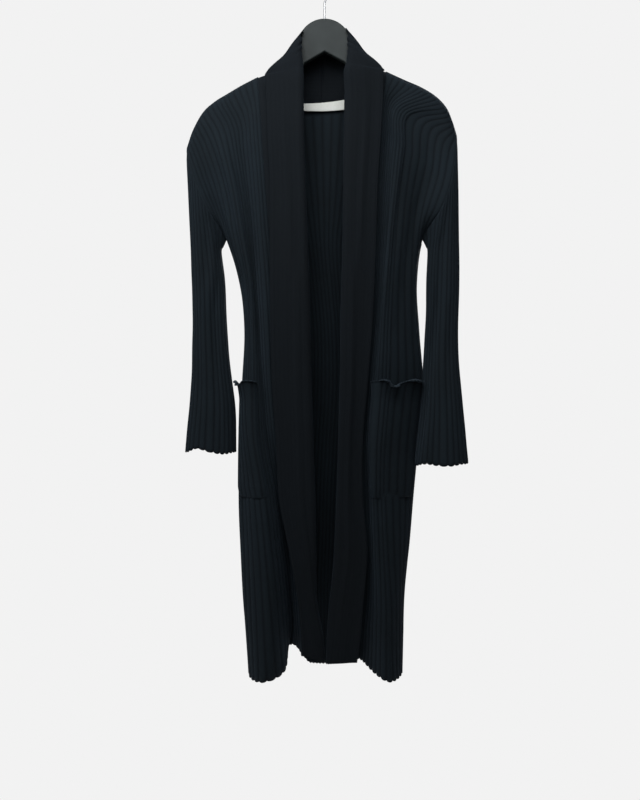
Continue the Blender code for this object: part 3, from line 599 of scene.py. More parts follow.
# In each knit the first colour is the painted shade of its rib valleys, the second the painted
# sheen of its crests.
RIB_KNIT = knit_material("rib_knit", (0.0040, 0.0054, 0.0068), (0.0078, 0.0114, 0.0142), 0.78,
                         0.04)
BAND_KNIT = knit_material("band_knit", (0.0036, 0.0044, 0.0054), (0.0044, 0.0054, 0.0066), 0.80,
                          0.03, wales=3.0, sharpness=0.5)
SEAM_KNIT = knit_material("seam_knit", (0.0030, 0.0042, 0.0052), (0.0090, 0.0130, 0.0160), 0.7,
                          0.04)
# The mouth knit's crests are painted about twice as light, a stronger painted sheen for its shiny
# edge.
MOUTH_KNIT = knit_material("mouth_knit", (0.0040, 0.0056, 0.0070), (0.0170, 0.0230, 0.0280), 0.45,
                           0.10)
print("knit materials:", [m.name for m in (RIB_KNIT, BAND_KNIT, SEAM_KNIT, MOUTH_KNIT)])

# %% [markdown]
# ## The fronts
#
# Each front is a long panel of 18 ribs. The columns of the grid keep partly to the folds and
# partly to an even spacing, as in the CAD solid, so a rib follows a fold all the way down.

# %% Sections of a front, and its surface
FRONT_PER_RIB = 8
FRONT_ROWS = 150


def front_row(row, columns):
    """One section of a front as a line of columns + 1 points."""
    line = spline(row)
    step = np.linalg.norm(np.diff(line, axis=0), axis=1)
    along = np.concatenate([[0], np.cumsum(step)])
    share = np.linspace(0, 1, columns + 1)
    folds = np.cumsum((0,) + FOLD_COLUMNS) / sum(FOLD_COLUMNS)
    at_folds = np.interp(share, folds, along[::SPLINE_STEPS])
    places = FOLD_HOLD * at_folds + (1 - FOLD_HOLD) * share * along[-1]
    return np.stack([np.interp(places, along, line[:, k]) for k in range(3)], axis=1)


def front_sections(table, columns):
    return np.stack([front_row(row, columns) for row in table])


FRONT_CREASES_LEFT = [
    ((0.30, 0.97), (0.46, 0.42), 3.2, 7.0, 1), ((0.50, 0.93), (0.60, 0.55), 2.6, 6.0, -1),
    ((0.12, 0.86), (0.30, 0.62), 2.8, 8.0, 1), ((0.66, 0.60), (0.72, 0.16), 2.2, 6.0, 1),
    ((0.20, 0.50), (0.26, 0.08), 2.4, 9.0, -1), ((0.42, 0.36), (0.38, 0.02), 2.0, 7.0, 1),
]
FRONT_CREASES_RIGHT = [
    ((0.34, 0.98), (0.44, 0.60), 2.6, 7.0, 1), ((0.16, 0.88), (0.34, 0.55), 3.0, 8.0, -1),
    ((0.56, 0.90), (0.62, 0.48), 2.2, 6.0, 1), ((0.22, 0.46), (0.20, 0.06), 2.6, 9.0, 1),
    ((0.50, 0.40), (0.46, 0.03), 2.2, 7.0, -1), ((0.70, 0.34), (0.74, 0.08), 1.8, 6.0, 1),
]

# %% Hang the fronts
def front_face(table, outward, creases, seed):
    """The face of a front, with its ribs, creases and ribbed hem."""
    columns = FRONT_PER_RIB * FRONT_RIBS
    sections = front_sections(table, columns)
    smooth = lengthwise(sections, even_places(sections, FRONT_ROWS))
    normal = normals_of(smooth, outward)
    across, up = shares(columns, FRONT_ROWS)
    rib = rib_height(across, FRONT_RIBS) * smooth_step((1 - up) / RIB_FADE)
    edge = np.minimum(1, np.minimum(across, 1 - across) / SIDE_EASE)
    width = np.linalg.norm(np.diff(smooth, axis=1), axis=2).sum(axis=1).mean()
    soft = crease_depth(across, up, width, creases) + unevenness(across, up, seed)
    return {"smooth": smooth, "face": raise_ribs(smooth, normal, rib, edge * soft, TIP_HEM),
            "sections": sections}


for side, table, outward, creases, seed in (("left", FRONT_LEFT, 1, FRONT_CREASES_LEFT, 1.3),
                                            ("right", FRONT_RIGHT, -1, FRONT_CREASES_RIGHT, 4.1)):
    name = "front_" + side
    cloth[name] = hang_piece("knit_" + name, front_face(table, outward, creases, seed), outward,
                             FRONT_RIBS, RIB_KNIT, node=name)

# %% [markdown]
# ## The back
#
# The back shares its side and shoulder seams with the fronts, and its ribs show from inside
# between the lapels. It has one row of section for each row of the fronts, then a yoke that
# climbs to the shoulder line and the neck seam.

# %% Sections of the back
BACK_PER_RIB = 6
BACK_ROWS = 128


def neck_half(neck_point):
    """The neck seam from one shoulder's inner end to the middle of the back."""
    x, z = neck_point[0], neck_point[2]
    rows = []
    for share, depth, drop in NECK_LINE:
        rows.append((x + share * (NECK_CENTRE[0] - x), depth, z + drop * (NECK_CENTRE[1] - z)))
    return np.array(rows)


def back_row(a, b, depths, columns):
    """One section of the back, from the side point a to the side point b."""
    quarter_l, middle_l, centre, middle_r, quarter_r, height = depths
    middle = (a[0] + b[0]) / 2
    line = [a]
    for end, quarter, halfway in ((a, quarter_l, middle_l), (b, quarter_r, middle_r)):
        part = []
        for share, depth in zip(BACK_SHARES, (0.6 * quarter, quarter, halfway)):
            drop = smooth_step(1.3 * share)
            part.append((end[0] + share * (middle - end[0]), depth,
                         end[2] + drop * (height - end[2])))
        line += part if end is a else [(middle, centre, height)] + part[::-1]
    return spaced(spline(line + [b]), columns)


def back_sections(per_rib):
    """All rows of the back. Its seams are the fronts' own points, at the same spacing."""
    columns = per_rib * BACK_RIBS
    left = front_sections(FRONT_LEFT, per_rib * FRONT_RIBS)
    right = front_sections(FRONT_RIGHT, per_rib * FRONT_RIBS)
    rows = [back_row(left[k, 0], right[k, 0], depths, columns) for k, depths in enumerate(BACK)]
    neck = np.vstack([neck_half(left[-1, -1]), neck_half(right[-1, -1])[-2::-1]])
    dense = spline(neck, per_rib * NECK_RIBS // (len(neck) - 1))
    top = np.vstack([left[-1], dense[1:-1], right[-1, ::-1]])
    low = rows[-1]
    share = np.linspace(0, 1, len(top))[:, None]
    for k, (climb, swing, edge_depth) in enumerate(BACK_YOKE):
        row = low + climb * (top - low)
        row[:, 1] = low[:, 1] + swing * (top[:, 1] - low[:, 1])
        level = len(BACK) + k
        for end, column, away in ((left[level, 0], 0, share), (right[level, 0], -1, 1 - share)):
            edge = np.array([end[0], edge_depth, end[2]])
            row = row + smooth_step(1 - away / EDGE_EASE) * (edge - row[column])
        rows.append(row)
    return np.stack(rows + [top])


BACK_CREASES = [
    ((0.10, 0.96), (0.24, 0.50), 3.0, 9.0, 1), ((0.90, 0.97), (0.78, 0.58), 2.6, 8.0, -1),
    ((0.33, 0.78), (0.36, 0.20), 3.0, 11.0, -1), ((0.48, 0.88), (0.52, 0.44), 2.2, 9.0, 1),
    ((0.62, 0.66), (0.66, 0.06), 3.2, 12.0, 1), ((0.22, 0.40), (0.19, 0.02), 2.6, 10.0, 1),
    ((0.80, 0.42), (0.84, 0.04), 2.4, 9.0, -1), ((0.44, 0.34), (0.47, 0.01), 2.0, 8.0, -1),
]

# %% Hang the back
BACK_TOP_EASE = 0.12
HEM_DIP = 34.0
DIP_STARTS = -60.0
DIP_FALL = 35.0
DIP_RISE = 125.0
DIP_REACH = 0.12


def back_face():
    """The face of the back. Its hem hangs lower between the two bands, fading to the sides."""
    sections = back_sections(BACK_PER_RIB)
    smooth = lengthwise(sections, even_places(sections, BACK_ROWS))
    normal = normals_of(smooth, -1)
    across, up = shares(smooth.shape[1] - 1, BACK_ROWS)
    rib = rib_height(across, BACK_RIBS) * smooth_step((1 - up) / RIB_FADE)
    edge = np.minimum(1, np.minimum(across, 1 - across) / SIDE_EASE)
    edge = edge * smooth_step((1 - up) / BACK_TOP_EASE)
    soft = crease_depth(across, up, widest(smooth), BACK_CREASES) + unevenness(across, up, 2.7)
    face = raise_ribs(smooth, normal, rib, edge * soft, TIP_HEM)
    hem_x = smooth[0, :, 0]
    dip = smooth_step((hem_x - DIP_STARTS) / DIP_FALL) * (1 - smooth_step(hem_x / DIP_RISE))
    face[..., 2] -= HEM_DIP * dip * smooth_step((DIP_REACH - up) / DIP_REACH)
    return {"smooth": smooth, "face": face, "sections": sections}


cloth["back"] = hang_piece("knit_back", back_face(), -1, BACK_RIBS, RIB_KNIT, node="back")

# %% [markdown]
# ## The sleeves
#
# A sleeve is a tube. Its top ring is the armhole, read from the front's and the back's own side
# edges, and the rings below turn gradually into soft flattened ovals down to the wavy cuff. The
# flat grid is rolled up, and the two edges that meet under the arm are merged into one seam.

# %% Rings of a sleeve
SLEEVE_PER_RIB = 8
SLEEVE_ROWS = 96
ARMPIT_ROW = 9
ARMHOLE_STEPS = 41
OVAL_POWER = 0.85
CUFF_FOLLOW = 0.35


def sleeve_ring(row, count):
    """A flattened oval round the arm, pressed in a little where the row has a tuck."""
    height, outer_x, inner_x, middle_y, half_depth, tuck = row
    angle = 2 * math.pi * np.arange(count) / count
    centre = (outer_x + inner_x) / 2
    half = (outer_x - inner_x) / 2
    cos = np.sign(np.cos(angle)) * np.abs(np.cos(angle)) ** OVAL_POWER
    sin = np.sign(np.sin(angle)) * np.abs(np.sin(angle)) ** OVAL_POWER
    dent = 1 - tuck * 3 * bell(angle, 1.9, 0.35) - tuck * 2 * bell(angle, 4.6, 0.4)
    return np.stack([centre + half * cos, middle_y - half_depth * sin * dent,
                     np.full(count, float(height))], axis=1)


def armhole(side, column):
    """The armhole from the shoulder down the front and up the back, as two smooth lines."""
    places = np.linspace(ARMPIT_ROW, len(FRONT_LEFT) - 1, ARMHOLE_STEPS)
    front = lengthwise(cloth["front_" + side]["sections"], places)[::-1, 0]
    back = lengthwise(cloth["back"]["sections"], places)[:, column]
    return front, back


def sleeve_sections(side, table, waves, column):
    """All rings of a sleeve, from the wavy cuff up to the armhole."""
    count = SLEEVE_PER_RIB * SLEEVE_RIBS
    rings = [sleeve_ring(row, count) for row in table][::-1]
    place = np.arange(count) / count
    for where, width, rise in waves:
        apart = np.abs((place - where + 0.5) % 1 - 0.5)
        rings[0][:, 2] += rise * bell(apart, 0, width)
        rings[1][:, 2] += CUFF_FOLLOW * rise * bell(apart, 0, width)
    front, back = armhole(side, column)
    hole = np.vstack([spaced(front, count // 2)[:-1], spaced(back, count // 2)[:-1]])
    for share in ARMHOLE_BLEND[::-1]:
        rings.append((1 - share) * hole + share * rings[len(table) - 1])
    return np.stack(rings + [hole])


SLEEVE_CREASES_LEFT = [
    ((0.30, 0.96), (0.22, 0.60), 2.6, 7.0, 1), ((0.42, 0.92), (0.30, 0.50), 2.2, 6.0, -1),
    ((0.14, 0.55), (0.17, 0.10), 2.2, 7.0, 1), ((0.36, 0.40), (0.38, 0.04), 2.0, 6.0, -1),
    ((0.70, 0.90), (0.80, 0.40), 2.8, 8.0, 1), ((0.88, 0.50), (0.84, 0.06), 2.0, 7.0, -1),
]
SLEEVE_CREASES_RIGHT = [
    ((0.26, 0.95), (0.30, 0.52), 2.8, 7.0, -1), ((0.40, 0.90), (0.34, 0.64), 2.4, 6.0, 1),
    ((0.18, 0.60), (0.22, 0.12), 2.4, 7.0, 1), ((0.32, 0.62), (0.44, -0.04), 4.5, 9.0, -1),
    ((0.66, 0.92), (0.74, 0.46), 2.8, 8.0, -1), ((0.86, 0.44), (0.90, 0.08), 2.0, 7.0, 1),
]

# %% Hang the sleeves
SLEEVE_RIB_FADE = 0.02
SLEEVE_TOP_EASE = 0.05


def sleeve_face(sections, outward, creases, seed):
    """The face of a sleeve, read round the arm."""
    smooth = lengthwise(sections, even_places(sections, SLEEVE_ROWS))
    normal = normals_of(smooth, outward, closed=True)
    across = (np.arange(smooth.shape[1]) / smooth.shape[1])[None, :]
    up = np.linspace(0, 1, SLEEVE_ROWS + 1)[:, None]
    rib = rib_height(across, SLEEVE_RIBS) * smooth_step((1 - up) / SLEEVE_RIB_FADE)
    ease = smooth_step((1 - up) / SLEEVE_TOP_EASE)
    width = np.linalg.norm(smooth - np.roll(smooth, 1, axis=1), axis=2).sum(axis=1).mean()
    soft = crease_depth(across, up, width, creases) + unevenness(across, up, seed)
    return {"smooth": smooth, "face": raise_ribs(smooth, normal, rib, ease * soft, TIP_CUFF),
            "closed": True}


for side, table, waves, column, outward, creases, seed in (
        ("left", SLEEVE_LEFT, CUFF_WAVES_LEFT, 0, 1, SLEEVE_CREASES_LEFT, 0.7),
        ("right", SLEEVE_RIGHT, CUFF_WAVES_RIGHT, -1, -1, SLEEVE_CREASES_RIGHT, 5.5)):
    name = "sleeve_" + side
    part = sleeve_face(sleeve_sections(side, table, waves, column), outward, creases, seed)
    cloth[name] = hang_piece("knit_" + name, part, outward, SLEEVE_RIBS, RIB_KNIT, node=name)

# %% [markdown]
# ## The band collar
#
# The band is one long strip, sewn to the fronts and the back neck and folded back on itself as
# a lapel. Its section runs from the seam, under the fall, round the roll and out to the free
# edge. At the back of the neck it stands up instead. A slightly thick selvedge ends it.

# %% Sections of the band
BAND_COLUMNS = 72
BAND_ROWS = 220
BAND_LINES = 18


def band_section(seam, roll, free, arch=0.0):
    """One section of the band: from the seam under the fall, round the roll, to the free edge."""
    seam, roll, free = (np.array(p, float) for p in (seam, roll, free))
    closeness = smooth_step((np.dot(unit(seam - roll), unit(free - roll)) + 0.2) / 0.9)
    lift = np.array([0.0, ROLL_RADIUS * closeness, 0.0])
    over = np.array([0.0, 0.0, arch])
    under = [seam + t * (roll + lift - seam) + math.sin(math.pi * t) * over for t in UNDER_STEPS]
    fall = [roll - lift + t * (free - roll + lift) for t in FALL_STEPS]
    bulge = np.array([0.0, -FALL_BULGE * closeness, 0.0])
    fall[1] += bulge
    fall[2] += bulge
    points = np.array(under + [roll] + fall)[:, None, :]
    return lengthwise(points, even_places(points, BAND_COLUMNS))[:, 0]


def band_sections(front_table, table, side):
    """The sections of one half of the band, from its hem to the middle of the back neck."""
    rows = []
    for k, (roll_x, roll_y, free_x, free_y) in enumerate(table):
        seam = np.array(front_table[k][-1], float)
        roll_drop, free_drop = BAND_HEM[side] if k == 0 else (0, 0)
        rows.append(band_section(seam, (roll_x, roll_y, seam[2] - roll_drop),
                                 (free_x, free_y, seam[2] - free_drop)))
    neck = neck_half(front_table[-1][-1])
    for k, (seam, (roll, free, arch, higher)) in enumerate(zip(neck, BAND_NECK)):
        flip = np.array([side, 1, 1])
        shift = np.array([NECK_CENTRE[0] if k == len(neck) - 1 else 0, 0,
                          higher if side < 0 else 0])
        rows.append(band_section(seam, np.array(roll) * flip + shift,
                                 np.array(free) * flip + shift, arch))
    return np.stack(rows)


BAND_CREASES = [
    ((0.62, 0.60), (0.68, 0.20), 1.6, 8.0, 1), ((0.80, 0.84), (0.72, 0.56), 1.4, 7.0, -1),
    ((0.66, 0.30), (0.62, 0.03), 1.2, 7.0, -1),
]

# %% Hang both halves of the band
BAND_SHELL = 1.3
LINE_RISE = 0.08
# Height, distance from the free edge and half width, in millimetres.
SELVEDGE = (0.55, 2.2, 1.6)
GROOVE = (0.35, 6.0, 1.4)
ROLL_SHARE = 0.42
PICOT = 2.2
PICOTS = 24
NECK_CALM = 0.90


def band_face(sections, outward, seed):
    """The face of the band: fine lines, a selvedge, and none of it where the neck curves."""
    smooth = lengthwise(sections, even_places(sections, BAND_ROWS))
    normal = normals_of(smooth, outward)
    across, up = shares(BAND_COLUMNS, BAND_ROWS)
    width = widest(smooth)
    free = (1 - across) * width
    selvedge = SELVEDGE[0] * bell(free, *SELVEDGE[1:]) - GROOVE[0] * bell(free, *GROOVE[1:])
    edge = smooth_step(across / 0.08) * smooth_step((1 - across) / 0.04)
    soft = crease_depth(across, up, width, BAND_CREASES) + 0.6 * unevenness(across, up, seed)
    lines = LINE_RISE * rib_height(across, BAND_LINES)
    calm = smooth_step((NECK_CALM - up) / 0.06)
    relief = selvedge * smooth_step(up / 0.02) + edge * (soft + lines)
    face = smooth + normal * (BAND_SHELL / 2 + calm * relief)[..., None]
    near_roll = bell(across[0], ROLL_SHARE, 0.14)
    face[0, :, 2] -= PICOT * near_roll * rib_height(across[0], PICOTS)
    return {"smooth": smooth, "face": face}


for side, front_table, table, outward, seed in (
        ("left", FRONT_LEFT, BAND_LEFT, 1, 3.3), ("right", FRONT_RIGHT, BAND_RIGHT, -1, 6.2)):
    name = "collar_" + side
    part = band_face(band_sections(front_table, table, outward), outward, seed)
    cloth[name] = hang_piece("knit_" + name, part, outward, BAND_LINES, BAND_KNIT, BAND_SHELL,
                             node=name)

# %% [markdown]
# ## The pockets
#
# A patch pocket is sewn to each front at its sides and bottom, and its mouth has a slightly
# shiny edge that rolls outwards. The patch is read from the front's own surface and lifted off
# it, least where it is sewn and most in the middle.

# %% Surface of a pocket
POCKET_ROWS = (4, 6)
POCKET_SPAN = {"left": (5, 19), "right": (5, 23)}
POCKET_MOUTH = {"left": (0, 3, 5, 2, -2, 2, 5, 3, 0), "right": (0, 3, 6, 4, -4, 1, 6, 4, -1)}
POCKET_LIFT = 3.6
SEWN_LIFT = 1.3
SEWN_EDGE = 0.10
POCKET_BELLY = 7.0
BELLY_SKEW = 1.6
BELLY_RISE = 1.4
POCKET_FLARE = 5.0
FLARE_STARTS = 0.85
WAVE_STARTS = 0.86
WAVE_LEAN = 0.5
POCKET_STEPS = 76
POCKET_FACE = 0.5
POCKET_SHELL = 1.2


def read_columns(block, places):
    """The grid of points read at those places across, fractions included."""
    whole = np.arange(block.shape[1])
    return np.stack([np.stack([np.interp(places, whole, row[:, k]) for k in range(3)], axis=1)
                     for row in block])


def pocket_face(side):
    """A patch lifted off its front, with a belly below and a flared, wavy mouth on top."""
    first, last = POCKET_SPAN[side]
    ribs = (last - first) // 2
    columns = ribs * FRONT_PER_RIB
    front = cloth["front_" + side]
    surface = lengthwise(front["sections"], np.linspace(*POCKET_ROWS, POCKET_STEPS + 1))
    facing = normals_of(surface, front["outward"])
    read = np.linspace(first, last, columns + 1) * FRONT_PER_RIB / 2
    points, facing = read_columns(surface, read), read_columns(facing, read)
    across, up = shares(columns, POCKET_STEPS)
    belly = np.sin(math.pi * across ** BELLY_SKEW) * smooth_step(up * BELLY_RISE)
    flare = np.clip((up - FLARE_STARTS) / (1 - FLARE_STARTS), 0, 1) ** 2
    flare = flare * np.sin(math.pi * across)
    free = smooth_step(np.minimum(across, 1 - across) / SEWN_EDGE) * smooth_step(up / SEWN_EDGE)
    lift = SEWN_LIFT + free * (POCKET_LIFT - SEWN_LIFT + POCKET_BELLY * belly
                               + POCKET_FLARE * flare)
    crests = np.array([(0, 0, rise) for rise in POCKET_MOUTH[side]], float)
    crests[:, 0] = np.linspace(0, 1, len(crests))
    crests = spline(crests)
    wave = np.interp(across[0], crests[:, 0], crests[:, 2])
    near_mouth = smooth_step((up - WAVE_STARTS) / (1 - WAVE_STARTS))
    smooth = points + facing * (lift + WAVE_LEAN * free * near_mouth * np.abs(wave))[..., None]
    smooth[..., 2] += near_mouth * wave
    rib = rib_height(across, ribs) * smooth_step(up / 0.02)
    normal = normals_of(smooth, front["outward"])
    face = smooth + normal * (POCKET_FACE + RIB_RISE * rib)[..., None]
    return {"smooth": smooth, "face": face, "ribs": ribs}


# %% Sew the pockets on
for side in ("left", "right"):
    name = "pocket_" + side
    part = pocket_face(side)
    cloth[name] = hang_piece("knit_" + name, part, cloth["front_" + side]["outward"],
                             part["ribs"], RIB_KNIT, POCKET_SHELL, node=name)

# %% [markdown]
# The frill is a narrow strip of the same knit along the mouth. It starts on the mouth's edge,
# climbs a few millimetres and rolls over to the outside. It lies in a few uneven lobes, so each
# lobe has its own place and size in a small table.

# %% Frill the mouths
FRILL_RADIUS = 4.6
FRILL_TURN = 2.5
FRILL_STEPS = 12
FRILL_COLUMNS = 260
FRILL_SHELL = 0.8
ROWS_BELOW = 6
LEAST_SIZE = 0.12
END_FADE = 0.12
END_SIZE = 0.25
SUNK = 0.5
FRILL_WAVES = {"left": 8, "right": 14}
# Lobes where the frill stands away. Columns: from and to along the mouth, and size.
FRILL_LOBES = {"left": [(0.16, 0.48, 0.8), (0.55, 0.95, 0.45)],
               "right": [(0.10, 0.37, 1.0), (0.42, 0.78, 0.85)]}


def frill_face(side):
    """A rolled edge: up from the mouth, over and down in front, in a few uneven lobes."""
    pocket = cloth["pocket_" + side]["face"]
    mouth = spaced(pocket[-1], FRILL_COLUMNS)
    climb = unit(mouth - spaced(pocket[-ROWS_BELOW], FRILL_COLUMNS))
    along = unit(np.gradient(mouth, axis=0))
    out = cloth["front_" + side]["outward"] * np.cross(along, climb)
    share = np.linspace(0, 1, FRILL_COLUMNS + 1)
    size = np.full(len(share), LEAST_SIZE)
    for start, end, height in FRILL_LOBES[side]:
        inside = np.clip((share - start) / (end - start), 0, 1)
        size = np.maximum(size, height * np.sin(math.pi * inside) ** 0.6)
    sway = np.sin(2 * math.pi * FRILL_WAVES[side] * share + 1.4 * np.sin(7 * share))
    fade = smooth_step(np.minimum(share, 1 - share) / END_FADE)
    reach = FRILL_RADIUS * size * (END_SIZE + (1 - END_SIZE) * fade)
    rows = []
    for t in np.linspace(0, 1, FRILL_STEPS + 1):
        turn = FRILL_TURN * t
        rise = reach * math.sin(turn) * 1.1 - SUNK
        lean = reach * (1 - math.cos(turn)) + 0.8 * t * sway * fade * size
        rows.append(mouth + climb * rise[:, None] + out * lean[:, None])
    return np.stack(rows)


for side in ("left", "right"):
    face = frill_face(side)
    cloth["frill_" + side] = hang_piece("pocket_frill_" + side, {"smooth": face, "face": face},
                                        cloth["front_" + side]["outward"],
                                        FRILL_WAVES[side] * 2, MOUTH_KNIT, FRILL_SHELL)

# %% [markdown]
# ## Seams
#
# Knitted pieces are joined by linking, which leaves a fine raised line of stitches. Each seam
# here is a thin tube, half sunk in the cloth along the edge where two pieces meet: the sides,
# shoulders, armholes and back neck.

# %% Roll a thin tube along a seam
SEAM_RADIUS = 1.15
SEAM_SIDES = 8
SEAM_STEP = 2.0
SEAM_OUT = 0.5


def tube_points(path, side, other, radius, sides):
    """Rings of points round a path, from two directions across it."""
    angle = np.linspace(0, 2 * math.pi, sides + 1)[None, :, None]
    return path[:, None] + radius * (np.cos(angle) * side[:, None] + np.sin(angle) * other[:, None])


def seam_tube(name, path, closed=False):
    """A thin tube along the path, a little thicker at every other stitch."""
    path = np.array(path, float)
    if closed:
        along = unit(np.roll(path, -1, axis=0) - np.roll(path, 1, axis=0))
    else:
        along = unit(np.gradient(path, axis=0))
    guide = np.array([0.0, 1.0, 0.0]) if abs(along[:, 1]).mean() < 0.7 else np.array([1.0, 0, 0])
    side = unit(np.cross(along, guide))
    other = np.cross(along, side)
    if closed:
        path, side, other = (np.vstack([p, p[:1]]) for p in (path, side, other))
    stitch = 1 + 0.10 * np.sin(np.arange(len(path)) * 2.1)[:, None, None]
    points = tube_points(path, side, other, SEAM_RADIUS * stitch, SEAM_SIDES)
    length = np.linalg.norm(np.diff(path, axis=0), axis=1).sum()
    bm = hung_grid(points, 1, (1.5, length), closed=True)
    bmesh.ops.holes_fill(bm, edges=[e for e in bm.edges if e.is_boundary])
    bmesh.ops.recalc_face_normals(bm, faces=bm.faces)
    keep_object(name, bm, SEAM_KNIT)


def dense_line(line):
    count = int(np.linalg.norm(np.diff(line, axis=0), axis=1).sum() / SEAM_STEP)
    return spaced(line, count)


# %% Lay the seams
for side, column, table in (("left", 0, FRONT_LEFT), ("right", -1, FRONT_RIGHT)):
    front = cloth["front_" + side]
    edge = front["smooth"][:, 0]
    start = int(np.argmin(np.abs(edge[:, 2] - table[ARMPIT_ROW][0][2])))
    seam_tube("side_seam_" + side,
              dense_line(edge[:start] + np.array([-SEAM_OUT * front["outward"], 0.0, 0.0])))
    seam_tube("shoulder_seam_" + side,
              dense_line(front["smooth"][-1] + np.array([0.0, 0.0, SEAM_OUT])))
    front_line, back_line = armhole(side, column)
    hole = np.vstack([dense_line(front_line)[:-1], dense_line(back_line)[:-1]])
    seam_tube("armhole_seam_" + side, hole, closed=True)
neck_line = cloth["back"]["sections"][-1][BACK_PER_RIB * FRONT_RIBS:-BACK_PER_RIB * FRONT_RIBS]
seam_tube("neck_seam", dense_line(neck_line))

# %% [markdown]
# ## The label
#
# A bare satin label is sewn inside the back, just under the neck seam. It is a short ribbon with
# both ends folded under; near them it stands half a millimetre forward, and its weft gives it a
# soft horizontal shine.

# %% Satin for the label
def satin_material():
    made, tree, shader = start_material("label_satin")
    uv = tree.nodes.new("ShaderNodeUVMap")
    uv.uv_map = "UVMap"
    weft = tree.nodes.new("ShaderNodeTexWave")
    weft.bands_direction = "Y"
    weft.inputs["Scale"].default_value = 1.6
    weft.inputs["Distortion"].default_value = 0.6
    weft.inputs["Detail"].default_value = 2.0
    tree.links.new(uv.outputs["UV"], weft.inputs["Vector"])
    fibres = place_group(tree, FIBRES, Patches=40.0)
    colour = ramp(tree, weft.outputs["Fac"], (0.52, 0.53, 0.50), (0.64, 0.65, 0.61))
    worn = ramp(tree, fibres.outputs["Nap"], (0.9, 0.9, 0.88), (1.05, 1.05, 1.05), 0.3, 0.7)
    tree.links.new(multiply(tree, colour, worn), shader.inputs["Base Color"])
    shader.inputs["Roughness"].default_value = 0.42
    shader.inputs["Sheen Weight"].default_value = 0.2
    bump(tree, [(weft.outputs["Fac"], 0.3, 0.0002), (fibres.outputs["Fibre"], 0.12, 0.0001)],
         shader.inputs["Normal"])
    return made


LABEL_SATIN = satin_material()

# %% Sew the label in
LABEL_ENDS = (-40.0, 39.0)
LABEL_TOP = (-221.0, -213.5)
LABEL_BOTTOM = (-234.5, -232.0)
LABEL_DEPTH = (32.6, 34.8)
LABEL_GRID = (12, 60)
FOLDED_END = 6.0
LABEL_SHELL = 0.5


def label_face():
    """A ribbon that leans a little to one side and bows back with the neck seam."""
    rows, columns = LABEL_GRID
    across, up = shares(columns, rows)
    x = LABEL_ENDS[0] + across * (LABEL_ENDS[1] - LABEL_ENDS[0]) + 0 * up
    top = LABEL_TOP[0] + across * (LABEL_TOP[1] - LABEL_TOP[0])
    bottom = LABEL_BOTTOM[0] + across * (LABEL_BOTTOM[1] - LABEL_BOTTOM[0])
    z = bottom + up * (top - bottom) - 0.8 * np.sin(math.pi * across)
    bow = np.sin(math.pi * across)
    from_end = np.minimum(x - LABEL_ENDS[0], LABEL_ENDS[1] - x)
    folded = 0.5 * smooth_step((FOLDED_END - from_end) / 1.5)
    crumple = 0.5 * np.sin(5.2 * across + 0.8) * (1 - up)
    y = LABEL_DEPTH[0] + (LABEL_DEPTH[1] - LABEL_DEPTH[0]) * bow - folded - crumple
    return np.stack([x, y, z], axis=2)


face = label_face()
cloth["label"] = hang_piece("satin_label", {"smooth": face, "face": face}, 1, widest(face),
                            LABEL_SATIN, LABEL_SHELL, node="neck_label")

# %% [markdown]
# ## The hanger
#
# The hanger is one moulded plate with a round head, a small arch and two sloping arms, in matte
# dark grey. Its outline is drawn once as a face, extruded and then bevelled, because a moulding
# always has a rounded rim that catches the light. The hook is bent wire.

# %% Matte moulded plate and drawn wire
def grained_material(name, fineness, patches, colours, roughness, grain):
    """A hard finish with a fine grain and slow patches of wear."""
    made, tree, shader = start_material(name)
    fibres = place_group(tree, FIBRES, Fineness=fineness, Patches=patches)
    colour = ramp(tree, fibres.outputs["Nap"], *colours, 0.3, 0.7)
    tree.links.new(colour, shader.inputs["Base Color"])
    smoother, rougher = roughness
    rough = ramp(tree, fibres.outputs["Fibre"], (smoother,) * 3, (rougher,) * 3, 0.3, 0.7)
    tree.links.new(rough, shader.inputs["Roughness"])
    bump(tree, [(fibres.outputs["Fibre"], *grain)], shader.inputs["Normal"])
    return made, shader


HANGER_PLATE, shader = grained_material(
    "hanger_plate", 2600.0, 30.0, ((0.017, 0.021, 0.021), (0.024, 0.029, 0.029)), (0.42, 0.62),
    (0.25, 0.0002))
shader.inputs["Specular IOR Level"].default_value = 0.12
HOOK_WIRE, shader = grained_material(
    "hook_wire", 900.0, 120.0, ((0.24, 0.24, 0.25), (0.40, 0.40, 0.41)), (0.26, 0.42),
    (0.15, 0.0001))
shader.inputs["Metallic"].default_value = 1.0

# %% Cut and bevel the hanger
PLATE_HALF = 5.5
PLATE_EDGE = 2.2
HEAD_RADIUS = 48.0
HEAD_TOP = -82.0
ARM_LEFT = [(-47, -166), (-85, -186), (-118, -201), (-152, -214), (-186, -231), (-208, -248),
            (-213, -254), (-209, -263), (-186, -251), (-120, -219), (-62, -191), (-41, -174),
            (-36, -162)]
ARM_RIGHT = [(47, -162), (85, -178), (115, -191), (146, -203), (180, -216), (204, -233),
             (209, -239), (205, -249), (180, -235), (118, -208), (62, -184), (41, -170),
             (36, -160)]
ARCH_TOP = (0, -141)
HEAD_STEPS = 48
RIM_SEGMENTS = 4


def report(made):
    """Prints how many triangles the finished piece has."""
    shown = made.evaluated_get(bpy.context.evaluated_depsgraph_get()).to_mesh()
    shown.calc_loop_triangles()
    print(made.name, len(shown.loop_triangles), "triangles")


